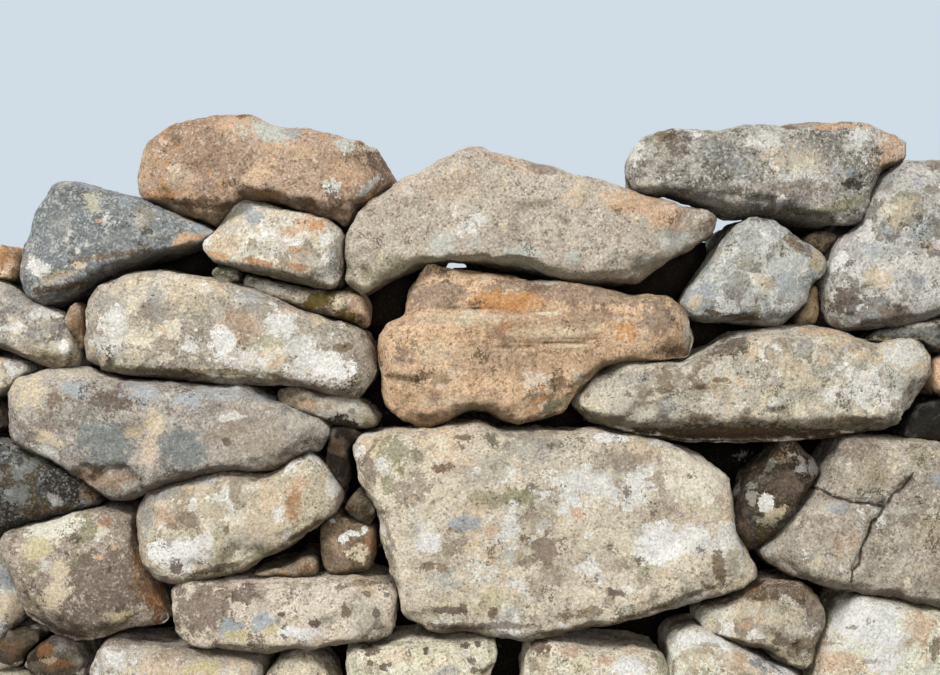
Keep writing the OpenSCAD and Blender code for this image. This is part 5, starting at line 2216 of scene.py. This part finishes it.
@dataclass
class Pinnings(Course):
    """The small stones that are wedged in the gaps of the front."""

    first_seed: int = 1200
    wear: Wear = field(
        default_factory=lambda: Wear(
            5.0, 2, 3.0, 90.0, 2.4, 28.0, flats=12.0, flat_size=45.0, chip_depth=6.0
        )
    )

    def stones(self) -> tuple[Stone, ...]:
        """Lists the pinnings, from the top of the wall down."""
        return (
            Stone("upper_left_pinnings", CREAM_GRANITE.of(
                (166, 154, 132), (136, 126, 104),
                stain(-592, 976, 20, 50, (158, 124, 92), 0.9, 0.3),
                stain(-368, 1055, 30, 22, (80, 80, 60), 0.9, 0.3),
                stain(-164, 1000, 24, 40, PEACH, 0.6),
                crust(-231, 1010, 30, 11, MOSS, 0.9, 1.4, 16),
                crust(-187, 985, 22, 10, MOSS, 0.85, 1.4, -24),
                crust(-290, 1030, 26, 9, SAGE, 0.5),
                dark_grain=(84, 72, 48), pale_crust=0.12,
            ), settings=(Sight((-182, 1034), (-150, 1021), reach=40.0),)),
            Stone("upper_right_pinnings", DARK_GRANITE.of(
                (176, 150, 116), (132, 110, 84),
                stain(533, 1100, 40, 30, BLACK, 0.45, 0.3),
                stain(510, 1005, 26, 40, (206, 176, 138), 0.8, 0.6),
            )),
            Stone("edge_pinnings", CREAM_GRANITE.of(
                (204, 196, 184), (170, 162, 148),
                # Painted shadow: a near black crust where the stone lies in deep shade.
                crust(730, 830, 150, 44, (12, 12, 10), 0.93, 0.2),
                # Painted light: this piece is painted brighter than its own colour,
                # against the shade that falls on it.
                stain(698, 907, 24, 38, (238, 196, 156), 0.85, 0.4),
                crust(695, 917, 7, 10, PEACH, 0.8),
                stain(700, 867, 10, 10, BROWN, 0.7, 0.6),
                stain(-800, 840, 90, 34, BROWN, 0.5),
            )),
            Stone("middle_pinnings", CREAM_GRANITE.of(
                (158, 141, 119), (122, 108, 88),
                # Painted shade: near black crusts over the pinnings that lie deep in the
                # recess.
                crust(-200, 784, 53, 62, RECESS_SHADE, 0.88, 0.2),
                crust(-200, 793, 13, 13, BROWN, 0.25),
                crust(-160, 705, 33, 29, RECESS_SHADE, 0.7, 0.2),
                crust(-174, 712, 12, 13, BROWN, 0.5),
                stain(-196, 848, 66, 33, (198, 188, 170), 0.7, 0.3),
                stain(-242, 856, 14, 6, PEACH, 0.75, 1),
                crust(-191, 855, 24, 10, PALE, 0.65),
                crust(-178, 858, 13, 7, SAGE, 0.5), stain(-204, 840, 26, 8, SMOKE, 0.6),
                stain(-152, 834, 16, 8, OLIVE, 0.55), crust(-178, 845, 4, 3, PLUM, 0.6),
                crust(-213, 852, 5, 3, BROWN, 0.5), crust(-251, 866, 6, 3, BROWN, 0.6),
                stain(-180, 648, 53, 57, BROWN, 0.5, 0.3),
                crust(-189, 654, 9, 8, MILK, 0.9, 1.2),
                crust(-173, 662, 11, 5, MILK, 0.9, 1.2),
                crust(-159, 668, 4, 5, MILK, 0.85),
                crust(-170, 634, 15, 12, CREAM, 0.95, 1.2),
                crust(-206, 681, 5, 4, MILK, 0.8), stain(-149, 646, 7, 14, RUST, 0.6),
                stain(-200, 621, 20, 11, MAUVE, 0.4),
                stain(-242, 617, 31, 15, BROWN, 0.6, 0.3),
                stain(-242, 621, 13, 6, SAND, 0.5),
                stain(-244, 613, 13, 4, ORANGE, 0.3),
                thalli=BROWN_CRUSTS, thalli_cover=0.3, dark_grain=(62, 50, 36),
                pale_grain=(200, 186, 162), pale_crust=0.08, dark_crust=0.18,
                dark_tint=(60, 50, 38),
            )),
            Stone("low_front_pinnings", CREAM_GRANITE.of(
                (206, 196, 176), (172, 162, 142),
                crust(-690, 493, 62, 32, (58, 46, 28), 0.8, 0.2),
                crust(-685, 490, 22, 13, RUST, 0.15),
                crust(-617, 479, 50, 40, (60, 49, 38), 0.72, 0.2),
                crust(-638, 487, 12, 10, RUST, 0.4), crust(-615, 465, 22, 9, RUST, 0.4),
                crust(-631, 471, 10, 5, SAND, 0.4), crust(-611, 490, 10, 5, SMOKE, 0.4),
                stain(-690, 418, 130, 46, (196, 186, 160), 0.6, 0.3),
                stain(-250, 486, 40, 16, MAUVE, 0.8),
                stain(-248, 425, 44, 46, (240, 224, 196), 0.85, 0.3),
                pale_crust=0.14, dark_crust=0.14,
            )),
        )


@dataclass
class GroundCourses(Course):
    """The footing stones and the course on them, below the photograph's edge."""

    first_seed: int = 1500
    wear: Wear = field(
        default_factory=lambda: Wear(14.0, 2, 9.0, 190.0, 5.0, 60.0)
    )

    def stones(self) -> tuple[Stone, ...]:
        """Lists the ground courses."""
        low = CREAM_GRANITE.of(
            (200, 187, 165), (162, 151, 132),
            stain(-300, 300, 160, 60, (208, 194, 168), 0.5),
            crust(260, 290, 60, 40, WHITE, 0.7), crust(-620, 320, 44, 30, MILK, 0.7),
        )
        footing = GREY_GRANITE.of(
            (168, 157, 139), (128, 119, 103), thalli=CREAM_CRUSTS,
            dark_crust=0.2, damp=(70, 62, 42), damp_reach=0.55,
        )
        return (
            Stone("footing_stones", footing, tones=0.35),
            Stone("second_course_front", low, tones=0.35),
            Stone("second_course_rear", low, tones=0.35),
        )


@dataclass
class BuiltEnds(Course):
    """The stacked through-stones that close the two ends."""

    first_seed: int = 1700
    wear: Wear = field(
        default_factory=lambda: Wear(14.0, 2, 9.0, 190.0, 5.0, 60.0)
    )

    def stones(self) -> tuple[Stone, ...]:
        """Lists the left and the right end."""
        granite = CREAM_GRANITE.of((198, 186, 166), (158, 148, 130), dark_crust=0.16)
        return (
            Stone("left_cheek_stones", granite, tones=0.4),
            Stone("right_cheek_stones", granite, tones=0.4),
        )


@dataclass
class RearSkin(Course):
    """The rear face, of the same rows as the front."""

    first_seed: int = 1900
    wear: Wear = field(
        default_factory=lambda: Wear(13.0, 2, 8.0, 170.0, 5.0, 56.0)
    )

    def stones(self) -> tuple[Stone, ...]:
        """Lists the rear rows, from the lowest up."""
        granite = CREAM_GRANITE.of((202, 190, 169), (162, 151, 133), dark_crust=0.16)
        return (
            Stone("rear_low_row", granite, tones=0.4),
            Stone("rear_middle_row", granite, tones=0.4),
            Stone("rear_upper_row", granite, tones=0.4),
        )


@dataclass
class Hearting(Course):
    """The rubble between the two skins, seen only through the joints, painted near black
    as painted shade of the joints.
    """

    first_seed: int = 2200
    wear: Wear = field(
        default_factory=lambda: Wear(18.0, 2, 8.0, 120.0, 6.0, 60.0, bulk=11.0)
    )

    def stones(self) -> tuple[Stone, ...]:
        """Lists the two lifts of hearting."""
        # Painted shade: the rubble is the same granite, painted near black for the shade
        # deep in the joints.
        rubble = DARK_GRANITE.of(
            (34, 29, 23), (20, 17, 13), thalli_cover=0.1,
            dark_grain=(14, 12, 10), pale_grain=(58, 50, 40), pale_crust=0.0,
        )
        return (
            Stone("low_hearting", rubble, tones=0.4),
            Stone("upper_hearting", rubble, tones=0.4),
            Stone(
                "inner_pinnings", rubble, tones=0.4,
                settings=(Sight((-42, 1061), (4, 1059), False, 60.0),),
            ),
        )


def main() -> None:
    """Builds the wall's looks and the studio around it."""
    logging.basicConfig(level=logging.INFO, format="%(message)s")
    Studio().build()
    groups = ShaderGroups(
        grain=granite_grain(),
        mottling=mottling(),
        mosaic=lichen_mosaic(),
        patch=placed_patch(),
        spots=lichen_spots(),
        relief=surface_relief(),
        damp=damp_underside(),
    )
    courses: tuple[Course, ...] = (
        GroundCourses(), BuiltEnds(), RearSkin(), Hearting(),
        FaceStones(), Pinnings(), BeamRow(), CopeRow(),
    )
    total = 0
    for course in courses:
        for piece in course.build(groups):
            total += sum(len(face.vertices) - 2 for face in piece.data.polygons)
    log.info("%d triangles in all", total)


if __name__ == "__main__":
    main()
